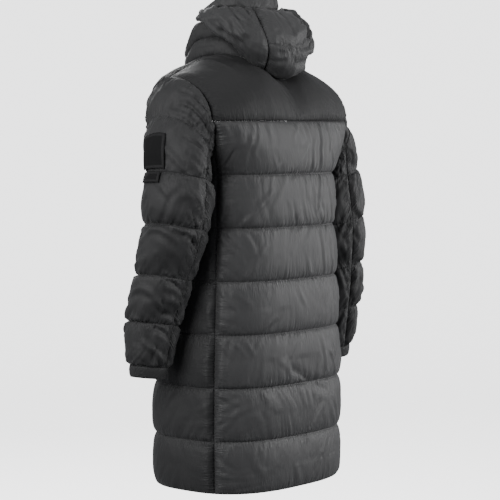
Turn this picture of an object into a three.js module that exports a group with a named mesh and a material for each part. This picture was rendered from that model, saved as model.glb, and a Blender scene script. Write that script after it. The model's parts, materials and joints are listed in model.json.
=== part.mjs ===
// A long hooded puffer coat, worn shape with no wearer, in millimetres.
// +Z is up, the front faces -Y and the wearer's left is +X.
// The origin is on the middle plane, level with the neck seam at the centre back.
import * as THREE from "three";

// Driving sizes
const YOKE_Z = -130; // seam between the plain yoke and the quilted body
const BAFFLES = 7; // quilted rows below the yoke
const BAFFLE_HEIGHT = 120;
const HEM_Z = YOKE_Z - BAFFLES * BAFFLE_HEIGHT;
const CLOTH = 3; // wall at a seam: shell, a little fill and lining
const SEAM_GAP = 0.3;
const BODY_PUFF = 12; // how far a body baffle stands out between its seams
const SLEEVE_PUFF = 10;
const YOKE_PUFF = 6;
const COLLAR_PUFF = 9;
const HOOD_PUFF = 10;
const SEAM_DIP = 16; // how far from a sewn edge the puff takes to rise
const BACK_SEAM = 20.5; // degrees from +X towards the back, where back and fronts join
const ZIP_WIDTH = 7;
const ROW_SHARES = [0, 0.14, 0.5, 0.86]; // where the rows of points lie within a baffle

const SHELL = { color: 0x2b2b2c, roughness: 0.62, metalness: 0 };
const BACK_SHELL = { color: 0x373738, roughness: 0.55, metalness: 0 };
const TRIM = { color: 0x1d1d1e, roughness: 0.7, metalness: 0 };
const METAL = { color: 0x2a2a2c, roughness: 0.35, metalness: 1 };

const radians = (degrees) => (degrees * Math.PI) / 180;
const mix = (from, to, share) => from + (to - from) * share;
const clamp01 = (value) => Math.min(1, Math.max(0, value));
const smooth = (value) => clamp01(value) ** 2 * (3 - 2 * clamp01(value));

// Body sections of the lining side: a rounded rectangle at each height
const BODY_SECTIONS = [
  { z: HEM_Z, halfWidth: 217, halfDepth: 160, squareness: 2.8 },
  { z: -850, halfWidth: 221, halfDepth: 161, squareness: 2.8 },
  { z: -730, halfWidth: 219, halfDepth: 160, squareness: 2.9 },
  { z: -610, halfWidth: 213, halfDepth: 158, squareness: 2.9 },
  { z: -490, halfWidth: 204, halfDepth: 156, squareness: 3 },
  { z: -370, halfWidth: 196, halfDepth: 155, squareness: 3 },
  { z: -290, halfWidth: 193, halfDepth: 154, squareness: 3 },
  { z: -235, halfWidth: 199, halfDepth: 153, squareness: 3 },
  { z: -180, halfWidth: 231, halfDepth: 152, squareness: 3 },
  { z: YOKE_Z, halfWidth: 258, halfDepth: 150, squareness: 3 },
];

// The armhole seen from the side: four quarter ellipses, its top leaning forward
const ARMHOLE = { z: YOKE_Z, y: 6, halfDepth: 89, halfHeight: 94, lean: 34, topX: 242 };

// Neck seam seen from above, and its height at angles from +X towards the back
const NECK = { y: -48, halfWidth: 90, back: 102, front: 108 };
const NECK_HEIGHTS = [
  { angle: -90, z: -28 },
  { angle: -60, z: -8 },
  { angle: -30, z: 6 },
  { angle: 0, z: 18 },
  { angle: 20, z: 18 },
  { angle: 45, z: 5 },
  { angle: 70, z: -18 },
  { angle: 84, z: -25.3 },
  { angle: 90, z: -26 },
];
const COLLAR_TOPS = [
  { angle: -90, z: 36 },
  { angle: -62, z: 38 },
  { angle: -38, z: 54 },
  { angle: -28, z: 76 },
  { angle: -18, z: 96 },
  { angle: 0, z: 102 },
  { angle: 40, z: 106 },
  { angle: 90, z: 106 },
];
const COLLAR_ROWS = 2;

// Sleeve rings of the lining side, one at each seam from the armhole to the cuff's end. x is counted
// away from the body: the outermost and innermost points, and how far the outermost leans forward.
const LEFT_SLEEVE = [
  { outX: 242, outZ: -36, inX: 205, inZ: -224, y: 6, halfDepth: 89, lean: 34 },
  { outX: 290, outZ: -122, inX: 226, inZ: -240, y: 14, halfDepth: 79, lean: 20 },
  { outX: 335, outZ: -243, inX: 217, inZ: -272, y: 32, halfDepth: 67, lean: 6 },
  { outX: 340, outZ: -356, inX: 221, inZ: -382, y: 27, halfDepth: 66, lean: 0 },
  { outX: 340, outZ: -470, inX: 232, inZ: -490, y: -3, halfDepth: 55, lean: 0 },
  { outX: 340, outZ: -576, inX: 243, inZ: -590, y: -32, halfDepth: 48, lean: 0 },
  { outX: 338, outZ: -674, inX: 258, inZ: -684, y: -41, halfDepth: 40, lean: 0 },
  { outX: 335, outZ: -702, inX: 264, inZ: -710, y: -44, halfDepth: 35, lean: 0 },
];
const RIGHT_SLEEVE = [
  { outX: 242, outZ: -36, inX: 205, inZ: -224, y: 6, halfDepth: 89, lean: 34 },
  { outX: 290, outZ: -122, inX: 226, inZ: -240, y: 12, halfDepth: 79, lean: 20 },
  { outX: 335, outZ: -243, inX: 217, inZ: -272, y: 22, halfDepth: 67, lean: 6 },
  { outX: 339, outZ: -356, inX: 221, inZ: -382, y: 36, halfDepth: 66, lean: 0 },
  { outX: 338, outZ: -470, inX: 232, inZ: -490, y: 40, halfDepth: 55, lean: 0 },
  { outX: 337, outZ: -576, inX: 243, inZ: -590, y: 33, halfDepth: 48, lean: 0 },
  { outX: 336, outZ: -674, inX: 258, inZ: -684, y: 24, halfDepth: 38, lean: 0 },
  { outX: 335, outZ: -702, inX: 264, inZ: -710, y: 22, halfDepth: 34, lean: 0 },
];
const CUFF_SEAM = 6;
const CUFF_END = 7;
const SLEEVE_SEAM = 100; // degrees round the sleeve from its outermost line to each long seam

// Hood profiles of the lining side, from the neck edge up to the rim, at angles from +X to the back.
// Radii are from the point on the middle plane at y = HOOD_Y.
const HOOD_Y = -30;
const HOOD_SECTIONS = [
  {
    angle: -30, edgeR: 99, edgeZ: 104, lowR: 100, lowZ: 105, bulgeR: 101, bulgeZ: 106.5,
    topR: 100, topZ: 108, creaseR: 98, creaseZ: 109.5, rimR: 95, rimZ: 114,
  },
  {
    angle: -6, edgeR: 107, edgeZ: 100, lowR: 109, lowZ: 100, bulgeR: 113, bulgeZ: 107,
    topR: 108, topZ: 115, creaseR: 96, creaseZ: 119, rimR: 90, rimZ: 137,
  },
  {
    angle: 15, edgeR: 110, edgeZ: 80, lowR: 116, lowZ: 78, bulgeR: 127, bulgeZ: 95,
    topR: 116, topZ: 117, creaseR: 93, creaseZ: 125, rimR: 85, rimZ: 157,
  },
  {
    angle: 38, edgeR: 110, edgeZ: 50, lowR: 122, lowZ: 44, bulgeR: 146, bulgeZ: 74,
    topR: 122, topZ: 112, creaseR: 90, creaseZ: 127, rimR: 79, rimZ: 175,
  },
  {
    angle: 62, edgeR: 108, edgeZ: 14.4, lowR: 134, lowZ: 1.4, bulgeR: 165, bulgeZ: 46,
    topR: 127, topZ: 103, creaseR: 88, creaseZ: 126, rimR: 74, rimZ: 186,
  },
  {
    angle: 90, edgeR: 105, edgeZ: -8, lowR: 142, lowZ: -17, bulgeR: 170, bulgeZ: 38,
    topR: 128, topZ: 96, creaseR: 87, creaseZ: 124, rimR: 71, rimZ: 190,
  },
];
const HOOD_PROFILE = ["edge", "low", "bulge", "top", "crease", "rim"];
const CREASE = 4; // place of the crease in the profile
const HOOD_SEAM = { bottom: 72, crease: 56 }; // degrees, where side and centre panels join

// Sleeve badges, bare of any print
const BADGES = [
  { name: "badge_large", width: 75, from: 1.36, to: 1.94, around: -11 },
  { name: "badge_small", width: 61, from: 2.0, to: 2.19, around: -13 },
];
const BADGE_CLOTH = 1.4;

// A smooth curve through the rows of a table, for one named column
function through(rows, column, place) {
  const last = rows.length - 1;
  const start = Math.min(last - 1, Math.max(0, Math.floor(place)));
  const t = place - start;
  const value = (i) => rows[Math.min(last, Math.max(0, i))][column];
  const [before, from, to, after] = [-1, 0, 1, 2].map((step) => value(start + step));
  const slopeFrom = start === 0 ? to - from : (to - before) / 2;
  const slopeTo = start + 1 === last ? to - from : (after - from) / 2;
  const t2 = t * t;
  const t3 = t2 * t;
  return (
    (2 * t3 - 3 * t2 + 1) * from + (t3 - 2 * t2 + t) * slopeFrom + (3 * t2 - 2 * t3) * to + (t3 - t2) * slopeTo
  );
}

// The place of a value in a rising or falling column, as a row number with a fraction
function placeOf(rows, column, wanted) {
  for (let i = 0; i < rows.length - 1; i += 1) {
    const share = (wanted - rows[i][column]) / (rows[i + 1][column] - rows[i][column]);
    if (share <= 1 || i === rows.length - 2) return i + share;
  }
  return 0;
}

function bodyPoint(z, angle) {
  const place = placeOf(BODY_SECTIONS, "z", z);
  const size = (column) => through(BODY_SECTIONS, column, place);
  const n = size("squareness");
  const across = Math.cos(radians(angle));
  const along = Math.sin(radians(angle));
  const radius =
    (Math.abs(across / size("halfWidth")) ** n + Math.abs(along / size("halfDepth")) ** n) ** (-1 / n);
  return new THREE.Vector3(radius * across, radius * along, z);
}

// The y of the armhole's edge below the yoke, at its back (1) or front (-1)
function armholeY(z, side) {
  const rise = (z - ARMHOLE.z) / ARMHOLE.halfHeight;
  const bottom = ARMHOLE.y + ARMHOLE.lean;
  return mix(bottom, ARMHOLE.y + side * ARMHOLE.halfDepth, Math.sqrt(Math.max(0, 1 - rise * rise)));
}

// The angle at which the body meets the armhole at a height
function armholeAngle(z, side) {
  const y = armholeY(z, side);
  let low = -80;
  let high = 80;
  for (let i = 0; i < 34; i += 1) {
    const middle = (low + high) / 2;
    if (bodyPoint(z, middle).y < y) low = middle;
    else high = middle;
  }
  return low;
}

// The height of the armhole's lower edge at an angle of the body's side
function armholeBottom(angle) {
  const bottom = ARMHOLE.y + ARMHOLE.lean;
  let z = ARMHOLE.z - ARMHOLE.halfHeight;
  for (let i = 0; i < 30; i += 1) {
    const y = bodyPoint(z, angle).y;
    const side = y > bottom ? 1 : -1;
    const share = (y - bottom) / (ARMHOLE.y + side * ARMHOLE.halfDepth - bottom);
    if (share >= 1) return YOKE_Z;
    z = mix(z, ARMHOLE.z - ARMHOLE.halfHeight * Math.sqrt(1 - share * share), 0.6);
  }
  return Math.min(z, YOKE_Z);
}

function neckPoint(angle) {
  const folded = angle > 90 ? 180 - angle : angle;
  const z = through(NECK_HEIGHTS, "z", placeOf(NECK_HEIGHTS, "angle", folded));
  const depth = folded > 0 ? NECK.back : NECK.front;
  return new THREE.Vector3(
    NECK.halfWidth * Math.cos(radians(angle)),
    NECK.y + depth * Math.sin(radians(angle)),
    z,
  );
}

// The height of a quilted row's puff at a share of the way across it: broad, and sharp at both seams
const quilt = (share) => Math.max(0, 1 - Math.abs(2 * share - 1) ** 2.4) ** 0.55;

// How far the puff has risen at a distance from a sewn edge
const edgeRise = (distance) => Math.sqrt(smooth(distance / SEAM_DIP));

// Shares of the way along a panel at which it has rows of points, for a number of quilted rows
function quiltRows(count, size = 1) {
  const rows = [];
  for (let i = 0; i < count; i += 1) for (const share of ROW_SHARES) rows.push((i + share) / size);
  return [...rows, count / size];
}

const evenRows = (count) => Array.from({ length: count + 1 }, (_, row) => row / count);

// A closed wall: a plain inner surface, and an outer one that stands out by the cloth and the puff.
// surface(u, v) gives the inner point, puff(u, v) the height of the fill, u and v from 0 to 1.
// The inner surface keeps one row in innerEvery. upright(v) is how much the wall may lean up or down.
function wall({ columns, rows, surface, puff, around = false, cloth = CLOTH, innerEvery = 1, upright }) {
  const step = 1e-3;
  const normalAt = (u, v) => {
    const [u0, u1] = around ? [u - step, u + step] : [Math.max(0, u - step), Math.min(1, u + step)];
    const [v0, v1] = [Math.max(0, v - step), Math.min(1, v + step)];
    const alongU = surface(u1, v).sub(surface(u0, v));
    const alongV = surface(u, v1).sub(surface(u, v0));
    const normal = alongU.cross(alongV).normalize();
    if (upright) normal.z *= upright(v);
    return normal.normalize();
  };
  const count = around ? columns : columns + 1;
  const last = rows.length - 1;
  const points = [];
  for (const outer of [true, false]) {
    for (const v of rows) {
      for (let column = 0; column < count; column += 1) {
        const u = column / columns;
        const point = surface(u, v);
        if (outer) point.addScaledVector(normalAt(u, v), cloth + puff(u, v));
        points.push(...point.toArray());
      }
    }
  }
  const at = (outer, row, column) =>
    (outer ? 0 : (last + 1) * count) + row * count + (around ? column % columns : column);
  const faces = [];
  const quad = (a, b, c, d) => faces.push(a, b, c, a, c, d);
  for (let row = 0; row < last; row += 1) {
    for (let column = 0; column < columns; column += 1) {
      quad(at(true, row, column), at(true, row, column + 1), at(true, row + 1, column + 1), at(true, row + 1, column));
    }
  }
  for (let row = 0; row < last; row += innerEvery) {
    const next = row + innerEvery;
    for (let column = 0; column < columns; column += 1) {
      quad(at(false, next, column), at(false, next, column + 1), at(false, row, column + 1), at(false, row, column));
    }
    if (around) continue;
    for (let i = row; i < next; i += 1) {
      faces.push(at(true, i, 0), at(true, i + 1, 0), at(false, row, 0));
      faces.push(at(true, i + 1, columns), at(true, i, columns), at(false, row, columns));
    }
    faces.push(at(false, row, 0), at(true, next, 0), at(false, next, 0));
    faces.push(at(true, next, columns), at(false, row, columns), at(false, next, columns));
  }
  for (let column = 0; column < columns; column += 1) {
    quad(at(false, 0, column), at(false, 0, column + 1), at(true, 0, column + 1), at(true, 0, column));
    quad(at(true, last, column), at(true, last, column + 1), at(false, last, column + 1), at(false, last, column));
  }
  const used = [...new Set(faces)].sort((a, b) => a - b);
  const place = new Map(used.map((old, i) => [old, i]));
  const kept = used.flatMap((i) => points.slice(3 * i, 3 * i + 3));
  const geometry = new THREE.BufferGeometry();
  geometry.setAttribute("position", new THREE.Float32BufferAttribute(kept, 3));
  geometry.setIndex(faces.map((i) => place.get(i)));
  geometry.computeVertexNormals();
  return geometry;
}

// The same wall on the wearer's other side
function mirrored(geometry) {
  const copy = geometry.clone().scale(-1, 1, 1);
  const index = copy.index.array;
  for (let i = 0; i < index.length; i += 3) [index[i + 1], index[i + 2]] = [index[i + 2], index[i + 1]];
  copy.computeVertexNormals();
  return copy;
}

const coat = new THREE.Group();

function add(name, geometry, finish) {
  const mesh = new THREE.Mesh(geometry, new THREE.MeshStandardMaterial(finish));
  mesh.name = name;
  coat.add(mesh);
}

function addPair(name, geometry, finish) {
  add(`${name}_left`, geometry, finish);
  add(`${name}_right`, mirrored(geometry), finish);
}

const degreesFor = (length, radius) => (length / radius) * (180 / Math.PI);
const SIDE_RADIUS = 215; // rough distance from the axis to the back seam
const HALF_SEAM = degreesFor(SEAM_GAP / 2, SIDE_RADIUS);

// The quilted back, from seam to seam
function backPanel() {
  const edge = (z) => Math.max(BACK_SEAM, z > -224 ? armholeAngle(z, 1) : 0) + HALF_SEAM;
  const top = YOKE_Z - SEAM_GAP / 2;
  return wall({
    columns: 12,
    rows: quiltRows(BAFFLES, BAFFLES),
    innerEvery: 2,
    upright: () => 0,
    surface: (u, v) => {
      const z = mix(HEM_Z, top, v);
      return bodyPoint(z, mix(edge(z), 180 - edge(z), u));
    },
    puff: (u, v) => BODY_PUFF * quilt((v * BAFFLES) % 1) * edgeRise(Math.min(u, 1 - u) * 2.2 * SIDE_RADIUS),
  });
}

const zipAngle = (halfDepth) => -90 + (Math.atan((ZIP_WIDTH / 2 + SEAM_GAP) / halfDepth) * 180) / Math.PI;

// A quilted front, which wraps round the side from the back seam to the zip
function frontPanel() {
  const last = BACK_SEAM - HALF_SEAM;
  const topLine = YOKE_Z - BAFFLE_HEIGHT;
  const angleAt = (u, z) => mix(zipAngle(Math.abs(bodyPoint(z, -90).y)), last, u);
  const topAt = (angle) => Math.min(YOKE_Z, armholeBottom(angle)) - SEAM_GAP / 2;
  const share = (BAFFLES - 1) / BAFFLES;
  const place = (u, v) => {
    const top = topAt(angleAt(u, YOKE_Z));
    const z = v <= share ? mix(HEM_Z, topLine, v / share) : mix(topLine, top, (v - share) / (1 - share));
    return { z, angle: angleAt(u, z), tall: v <= share ? 1 : clamp01((top - topLine) / 70) };
  };
  return wall({
    columns: 14,
    rows: quiltRows(BAFFLES, BAFFLES),
    innerEvery: 2,
    upright: () => 0,
    surface: (u, v) => {
      const { z, angle } = place(u, v);
      return bodyPoint(z, angle);
    },
    puff: (u, v) => {
      const { z, angle, tall } = place(u, v);
      const underArm = Math.exp(-((angle / 30) ** 2)) * smooth((z + 700) / 250);
      const rise = edgeRise(Math.min(u, 1 - u) * 2.1 * SIDE_RADIUS);
      return BODY_PUFF * quilt((v * BAFFLES) % 1) * rise * (1 - 0.6 * underArm) * tall;
    },
  });
}

// The plain yoke, from the seam above the top quilted row over to the shoulder and neck seams.
function yokeSurface(angleFrom, angleTo, topAt) {
  return (u, v) => {
    const z = YOKE_Z + SEAM_GAP / 2;
    const base = bodyPoint(z, mix(angleFrom, angleTo, u));
    const { point, roundness } = topAt(u);
    const turn = (v * Math.PI) / 2;
    const rise = mix(v, Math.sin(turn), roundness);
    const inward = mix(v, 1 - Math.cos(turn), roundness);
    return new THREE.Vector3(
      mix(base.x, point.x, inward),
      mix(base.y, point.y, inward),
      mix(base.z, point.z, rise),
    );
  };
}

const SHOULDER_TIP = new THREE.Vector3(
  ARMHOLE.topX,
  ARMHOLE.y - ARMHOLE.lean,
  ARMHOLE.z + ARMHOLE.halfHeight,
);
const NECK_SHARE = 0.5; // share of the yoke's top edge that lies on the neck seam
const NECK_SIDE = -4; // degrees, where the shoulder seam meets the neck

function backYoke() {
  const edge = armholeAngle(YOKE_Z, 1) + HALF_SEAM;
  const side = neckPoint(NECK_SIDE);
  const topAt = (u) => {
    const fromMiddle = Math.abs(2 * u - 1);
    const sign = u < 0.5 ? 1 : -1;
    if (fromMiddle <= NECK_SHARE) {
      const point = neckPoint(90 - (90 - NECK_SIDE) * (fromMiddle / NECK_SHARE));
      point.x *= sign;
      return { point, roundness: mix(0.6, 1.05, fromMiddle / NECK_SHARE) };
    }
    const out = (fromMiddle - NECK_SHARE) / (1 - NECK_SHARE);
    const point = side.clone().lerp(SHOULDER_TIP, out);
    point.x *= sign;
    return { point, roundness: mix(1.05, 1, out) };
  };
  return wall({
    columns: 16,
    rows: evenRows(6),
    innerEvery: 2,
    upright: (v) => clamp01(v * 5),
    surface: yokeSurface(edge, 180 - edge, topAt),
    puff: (u, v) => {
      const across = Math.min(u, 1 - u) * 480;
      return YOKE_PUFF * edgeRise(across) * edgeRise(Math.min(170 * v, 70 * (1 - v)));
    },
  });
}

function frontYoke() {
  const edge = armholeAngle(YOKE_Z, -1) - HALF_SEAM;
  const zipEdge = zipAngle(BODY_SECTIONS.at(-1).halfDepth);
  const gap = new THREE.Vector3(0, -3 * SEAM_GAP, 0);
  const side = neckPoint(NECK_SIDE).add(gap);
  const neckZip = -90 + degreesFor(ZIP_WIDTH / 2 + SEAM_GAP, NECK.halfWidth);
  const topAt = (u) => {
    if (u <= 0.5) {
      const point = neckPoint(mix(neckZip, NECK_SIDE, u / 0.5)).add(gap);
      return { point, roundness: mix(0.1, 0.6, u / 0.5) };
    }
    const out = (u - 0.5) / 0.5;
    const point = side.clone().lerp(SHOULDER_TIP.clone().add(gap), out);
    return { point, roundness: mix(0.6, 1, out) };
  };
  return wall({
    columns: 8,
    rows: evenRows(6),
    innerEvery: 2,
    upright: (v) => clamp01(v * 5),
    surface: yokeSurface(zipEdge, edge, topAt),
    puff: (u, v) => {
      const across = Math.min(u, 1 - u) * 250;
      return YOKE_PUFF * edgeRise(across) * edgeRise(Math.min(150 * v, 70 * (1 - v)));
    },
  });
}

// A point of a sleeve's lining side: place counts its rings, turn is degrees from the outermost line
// towards the back
function sleevePoint(rings, place, turn) {
  const size = (column) => through(rings, column, place);
  const outward = Math.cos(radians(turn));
  const backward = Math.sin(radians(turn));
  const middle = size("y") - Math.sign(outward) * size("lean");
  const edge = size("y") + Math.sign(backward) * size("halfDepth");
  return new THREE.Vector3(
    mix(size("inX"), size("outX"), (1 + outward) / 2),
    mix(middle, edge, Math.abs(backward)),
    mix(size("inZ"), size("outZ"), (1 + outward) / 2),
  );
}

// How far the body's own wall at the armhole stands out from the sleeve's plain first ring
function armholeStep(turn) {
  const plain = sleevePoint(LEFT_SLEEVE, 0, turn);
  const under = Math.cos(radians(turn)) < 0;
  if (!under) {
    const base = bodyPoint(YOKE_Z, armholeAngle(YOKE_Z, Math.sin(radians(turn)) < 0 ? -1 : 1));
    return mix(base.x, ARMHOLE.topX, 1 - Math.abs(Math.sin(radians(turn)))) - plain.x + SEAM_GAP;
  }
  const section = BODY_SECTIONS.length - 1;
  const place = placeOf(BODY_SECTIONS, "z", plain.z);
  const size = (column) => through(BODY_SECTIONS, column, Math.min(section, place));
  const n = size("squareness");
  const bodyX = size("halfWidth") * (1 - Math.abs(plain.y / size("halfDepth")) ** n) ** (1 / n);
  return bodyX - plain.x + SEAM_GAP;
}

// The sleeve starts on the body's wall, and stands clear of it all round
function sleeveSurface(rings, from, to, turnFrom, turnTo) {
  return (u, v) => {
    const turn = mix(turnFrom, turnTo, u);
    const place = mix(from, to, v);
    const fade = clamp01(1 - place) ** 2;
    const under = (1 - Math.cos(radians(turn))) / 2;
    const back = Math.abs(Math.sin(radians(turn)));
    const clear = mix(CLOTH * back, 3 * CLOTH + 1, under ** 2) * clamp01(1 - place);
    return sleevePoint(rings, place, turn).add(new THREE.Vector3(armholeStep(turn) * fade + clear, 0, 0));
  };
}

function sleevePuff(place, turn) {
  const inner = (1 - Math.cos(radians(turn))) / 2;
  const start = place < 1 ? mix(1, 0.2, inner) : 1;
  return SLEEVE_PUFF * quilt(place % 1) * mix(1, 0.3, inner ** 2) * start;
}

function sleevePanel(rings, turnFrom, turnTo, columns) {
  return wall({
    columns,
    rows: quiltRows(CUFF_SEAM, CUFF_SEAM),
    innerEvery: 2,
    surface: sleeveSurface(rings, 0, CUFF_SEAM - 0.004, turnFrom, turnTo),
    puff: (u, v) => {
      const across = Math.min(u, 1 - u) * Math.abs(turnTo - turnFrom) * 1.3;
      const place = Math.min(CUFF_SEAM * v, CUFF_SEAM - 1e-9);
      return sleevePuff(place, mix(turnFrom, turnTo, u)) * edgeRise(across);
    },
  });
}

function cuff(rings) {
  return wall({
    columns: 18,
    rows: evenRows(2),
    around: true,
    surface: (u, v) => sleevePoint(rings, mix(CUFF_SEAM + 0.006, CUFF_END, v), -360 * u),
    puff: (u, v) => 1.5 * quilt(v),
  });
}

// A badge follows the sleeve's outer surface, a little above it
function badge({ width, from, to, around }) {
  const half = degreesFor(width / 2, 78);
  const step = 1e-3;
  return wall({
    columns: 6,
    rows: evenRows(4),
    cloth: BADGE_CLOTH,
    surface: (u, v) => {
      const turn = mix(around + half, around - half, u);
      const place = mix(from, to, v);
      const at = (p, t) => sleevePoint(LEFT_SLEEVE, p, t);
      const backward = at(place, turn + step).sub(at(place, turn - step));
      const down = at(place + step, turn).sub(at(place - step, turn));
      const out = down.cross(backward).normalize();
      const height = CLOTH + sleevePuff(place, turn) + 1;
      return at(place, turn).addScaledVector(out, height);
    },
    puff: () => 0,
  });
}

// The stand collar, from the neck seam up
function collarPoint(angle, v) {
  const folded = angle > 90 ? 180 - angle : angle;
  const base = neckPoint(angle);
  const top = through(COLLAR_TOPS, "z", placeOf(COLLAR_TOPS, "angle", folded));
  return new THREE.Vector3(
    base.x * mix(1, 0.93, v),
    mix(base.y, NECK.y + (base.y - NECK.y) * 0.93 - 6, v),
    mix(base.z + CLOTH + mix(0.6, 4, clamp01((folded + 90) / 90)), top, v),
  );
}

function collar() {
  const start = -90 + degreesFor(ZIP_WIDTH / 2 + SEAM_GAP, NECK.halfWidth);
  return wall({
    columns: 24,
    rows: quiltRows(COLLAR_ROWS, COLLAR_ROWS),
    innerEvery: 4,
    upright: () => 0,
    surface: (u, v) => collarPoint(mix(start, 180 - start, u), v),
    puff: (u, v) => COLLAR_PUFF * edgeRise(Math.min(u, 1 - u) * 600) * quilt((v * COLLAR_ROWS) % 1),
  });
}

// A point of the hood's lining side: place counts along the profile from the neck edge to the rim
function hoodPoint(angle, place) {
  const folded = angle > 90 ? 180 - angle : angle;
  const row = placeOf(HOOD_SECTIONS, "angle", folded);
  const profile = HOOD_PROFILE.map((part) => ({
    r: through(HOOD_SECTIONS, `${part}R`, row),
    z: through(HOOD_SECTIONS, `${part}Z`, row),
  }));
  const radius = through(profile, "r", place);
  return new THREE.Vector3(
    radius * Math.cos(radians(angle)),
    HOOD_Y + radius * Math.sin(radians(angle)),
    through(profile, "z", place),
  );
}

const HOOD_START = HOOD_SECTIONS[0].angle;
const HOOD_GAP = degreesFor(SEAM_GAP, 120);
const CREASE_GAP = 0.03; // half the gap at the crease, counted along the profile
const hoodSeam = (place) => mix(HOOD_SEAM.bottom, HOOD_SEAM.crease, Math.min(1, place / CREASE));

// A panel of the hood between two edges, each an angle at a place along the profile
function hoodPanel({ edgeFrom, edgeTo, placeFrom, placeTo, columns, rows, height, quiltLines = 1 }) {
  const place = (u, v) => {
    const along = mix(placeFrom, placeTo, v);
    return { along, angle: mix(edgeFrom(along), edgeTo(along), u) };
  };
  return wall({
    columns,
    rows,
    surface: (u, v) => {
      const { along, angle } = place(u, v);
      return hoodPoint(angle, along);
    },
    puff: (u, v) => {
      const { along, angle } = place(u, v);
      const across = Math.min(u, 1 - u) * Math.abs(edgeTo(along) - edgeFrom(along)) * 2.2;
      const corners = smooth((Math.min(angle, 180 - angle) - HOOD_START) / 50);
      return height * quilt((v * quiltLines) % 1) * edgeRise(across) * corners;
    },
  });
}

// The zip's chain, down the centre front from the collar's top to the hem
function frontLine(z) {
  const neck = NECK_HEIGHTS[0].z;
  if (z <= YOKE_Z) return bodyPoint(z, -90).y;
  if (z <= neck) {
    const v = (z - YOKE_Z) / (neck - YOKE_Z);
    return mix(bodyPoint(YOKE_Z, -90).y, neckPoint(-90).y, v);
  }
  return collarPoint(-90, (z - neck) / (COLLAR_TOPS[0].z - neck)).y;
}

const ZIP_DEPTH = 4;
const ZIP_TOP = COLLAR_TOPS[0].z - 2;

function zipChain() {
  return wall({
    columns: 1,
    rows: evenRows(26),
    cloth: ZIP_DEPTH,
    surface: (u, v) => {
      const z = mix(HEM_Z + 2, ZIP_TOP, v);
      return new THREE.Vector3(mix(-ZIP_WIDTH / 2, ZIP_WIDTH / 2, u), frontLine(z), z);
    },
    puff: () => 0,
  });
}

// The slider stands just in front of the chain, near the collar's top
const SLIDER = { width: 10, height: 13, depth: 4.5, z: 26 };
const PULL = { width: 6.5, length: 30, thick: 1.4 };
const sliderFace = frontLine(SLIDER.z) - ZIP_DEPTH - SEAM_GAP;

function slider() {
  const outline = new THREE.Shape();
  const halfTop = SLIDER.width / 2;
  outline.moveTo(-halfTop * 0.7, -SLIDER.height / 2);
  outline.lineTo(halfTop * 0.7, -SLIDER.height / 2);
  outline.lineTo(halfTop, SLIDER.height / 4);
  outline.lineTo(halfTop * 0.6, SLIDER.height / 2);
  outline.lineTo(-halfTop * 0.6, SLIDER.height / 2);
  outline.lineTo(-halfTop, SLIDER.height / 4);
  outline.closePath();
  const geometry = new THREE.ExtrudeGeometry(outline, { depth: SLIDER.depth, bevelEnabled: false });
  return geometry.rotateX(Math.PI / 2).translate(0, sliderFace, SLIDER.z);
}

function pull() {
  const outline = new THREE.Shape();
  const half = PULL.width / 2;
  outline.moveTo(-half, 0);
  outline.lineTo(-half, -PULL.length + half);
  outline.absarc(0, -PULL.length + half, half, Math.PI, 2 * Math.PI, false);
  outline.lineTo(half, 0);
  outline.closePath();
  const hole = new THREE.Path();
  hole.absarc(0, -PULL.length + half + 1.5, half * 0.45, 0, 2 * Math.PI, true);
  outline.holes.push(hole);
  const geometry = new THREE.ExtrudeGeometry(outline, { depth: PULL.thick, bevelEnabled: false, curveSegments: 6 });
  const face = sliderFace - SLIDER.depth - SEAM_GAP;
  return geometry.rotateX(Math.PI / 2).translate(0, face, SLIDER.z + 3);
}

add("back_panel", backPanel(), BACK_SHELL);
addPair("front_panel", frontPanel(), SHELL);
add("yoke_back", backYoke(), SHELL);
addPair("yoke_front", frontYoke(), SHELL);
for (const [side, rings] of [["left", LEFT_SLEEVE], ["right", RIGHT_SLEEVE]]) {
  const place = side === "left" ? (geometry) => geometry : mirrored;
  const near = SLEEVE_SEAM - 0.12;
  const far = SLEEVE_SEAM + 0.12;
  add(`sleeve_top_${side}`, place(sleevePanel(rings, near, -near, 12)), SHELL);
  add(`sleeve_under_${side}`, place(sleevePanel(rings, 360 - far, far, 8)), SHELL);
  add(`cuff_${side}`, place(cuff(rings)), TRIM);
}
add("collar", collar(), SHELL);
const bagRows = { placeFrom: 0, placeTo: CREASE - CREASE_GAP, height: HOOD_PUFF, rows: quiltRows(2, 2) };
const hoodSide = { edgeFrom: () => HOOD_START, edgeTo: (place) => hoodSeam(place) - HOOD_GAP };
const hoodCentre = {
  edgeFrom: (place) => hoodSeam(place) + HOOD_GAP,
  edgeTo: (place) => 180 - hoodSeam(place) - HOOD_GAP,
};
addPair("hood_side", hoodPanel({ ...hoodSide, ...bagRows, columns: 10 }), SHELL);
add("hood_centre", hoodPanel({ ...hoodCentre, ...bagRows, columns: 6, quiltLines: 2 }), SHELL);
const rimRows = { placeFrom: CREASE + CREASE_GAP, placeTo: HOOD_PROFILE.length - 1, height: 0.6 * HOOD_PUFF };
const hoodRim = { edgeFrom: () => HOOD_START, edgeTo: () => 180 - HOOD_START };
add("hood_rim", hoodPanel({ ...hoodRim, ...rimRows, columns: 26, rows: evenRows(4) }), SHELL);
for (const one of BADGES) add(one.name, badge(one), TRIM);
add("zip_chain", zipChain(), TRIM);
add("zip_slider", slider(), METAL);
add("zip_pull", pull(), METAL);

export default coat;
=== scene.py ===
"""A long hooded puffer coat in its worn shape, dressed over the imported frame.

Lengths in the tables are millimetres, as in the solids; meshes are in metres. +Z is up, the front
faces -Y and the wearer's left is +X.
"""

import json
import logging
import math
from dataclasses import dataclass, field
from enum import Enum
from typing import Callable, Optional, Sequence

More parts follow.
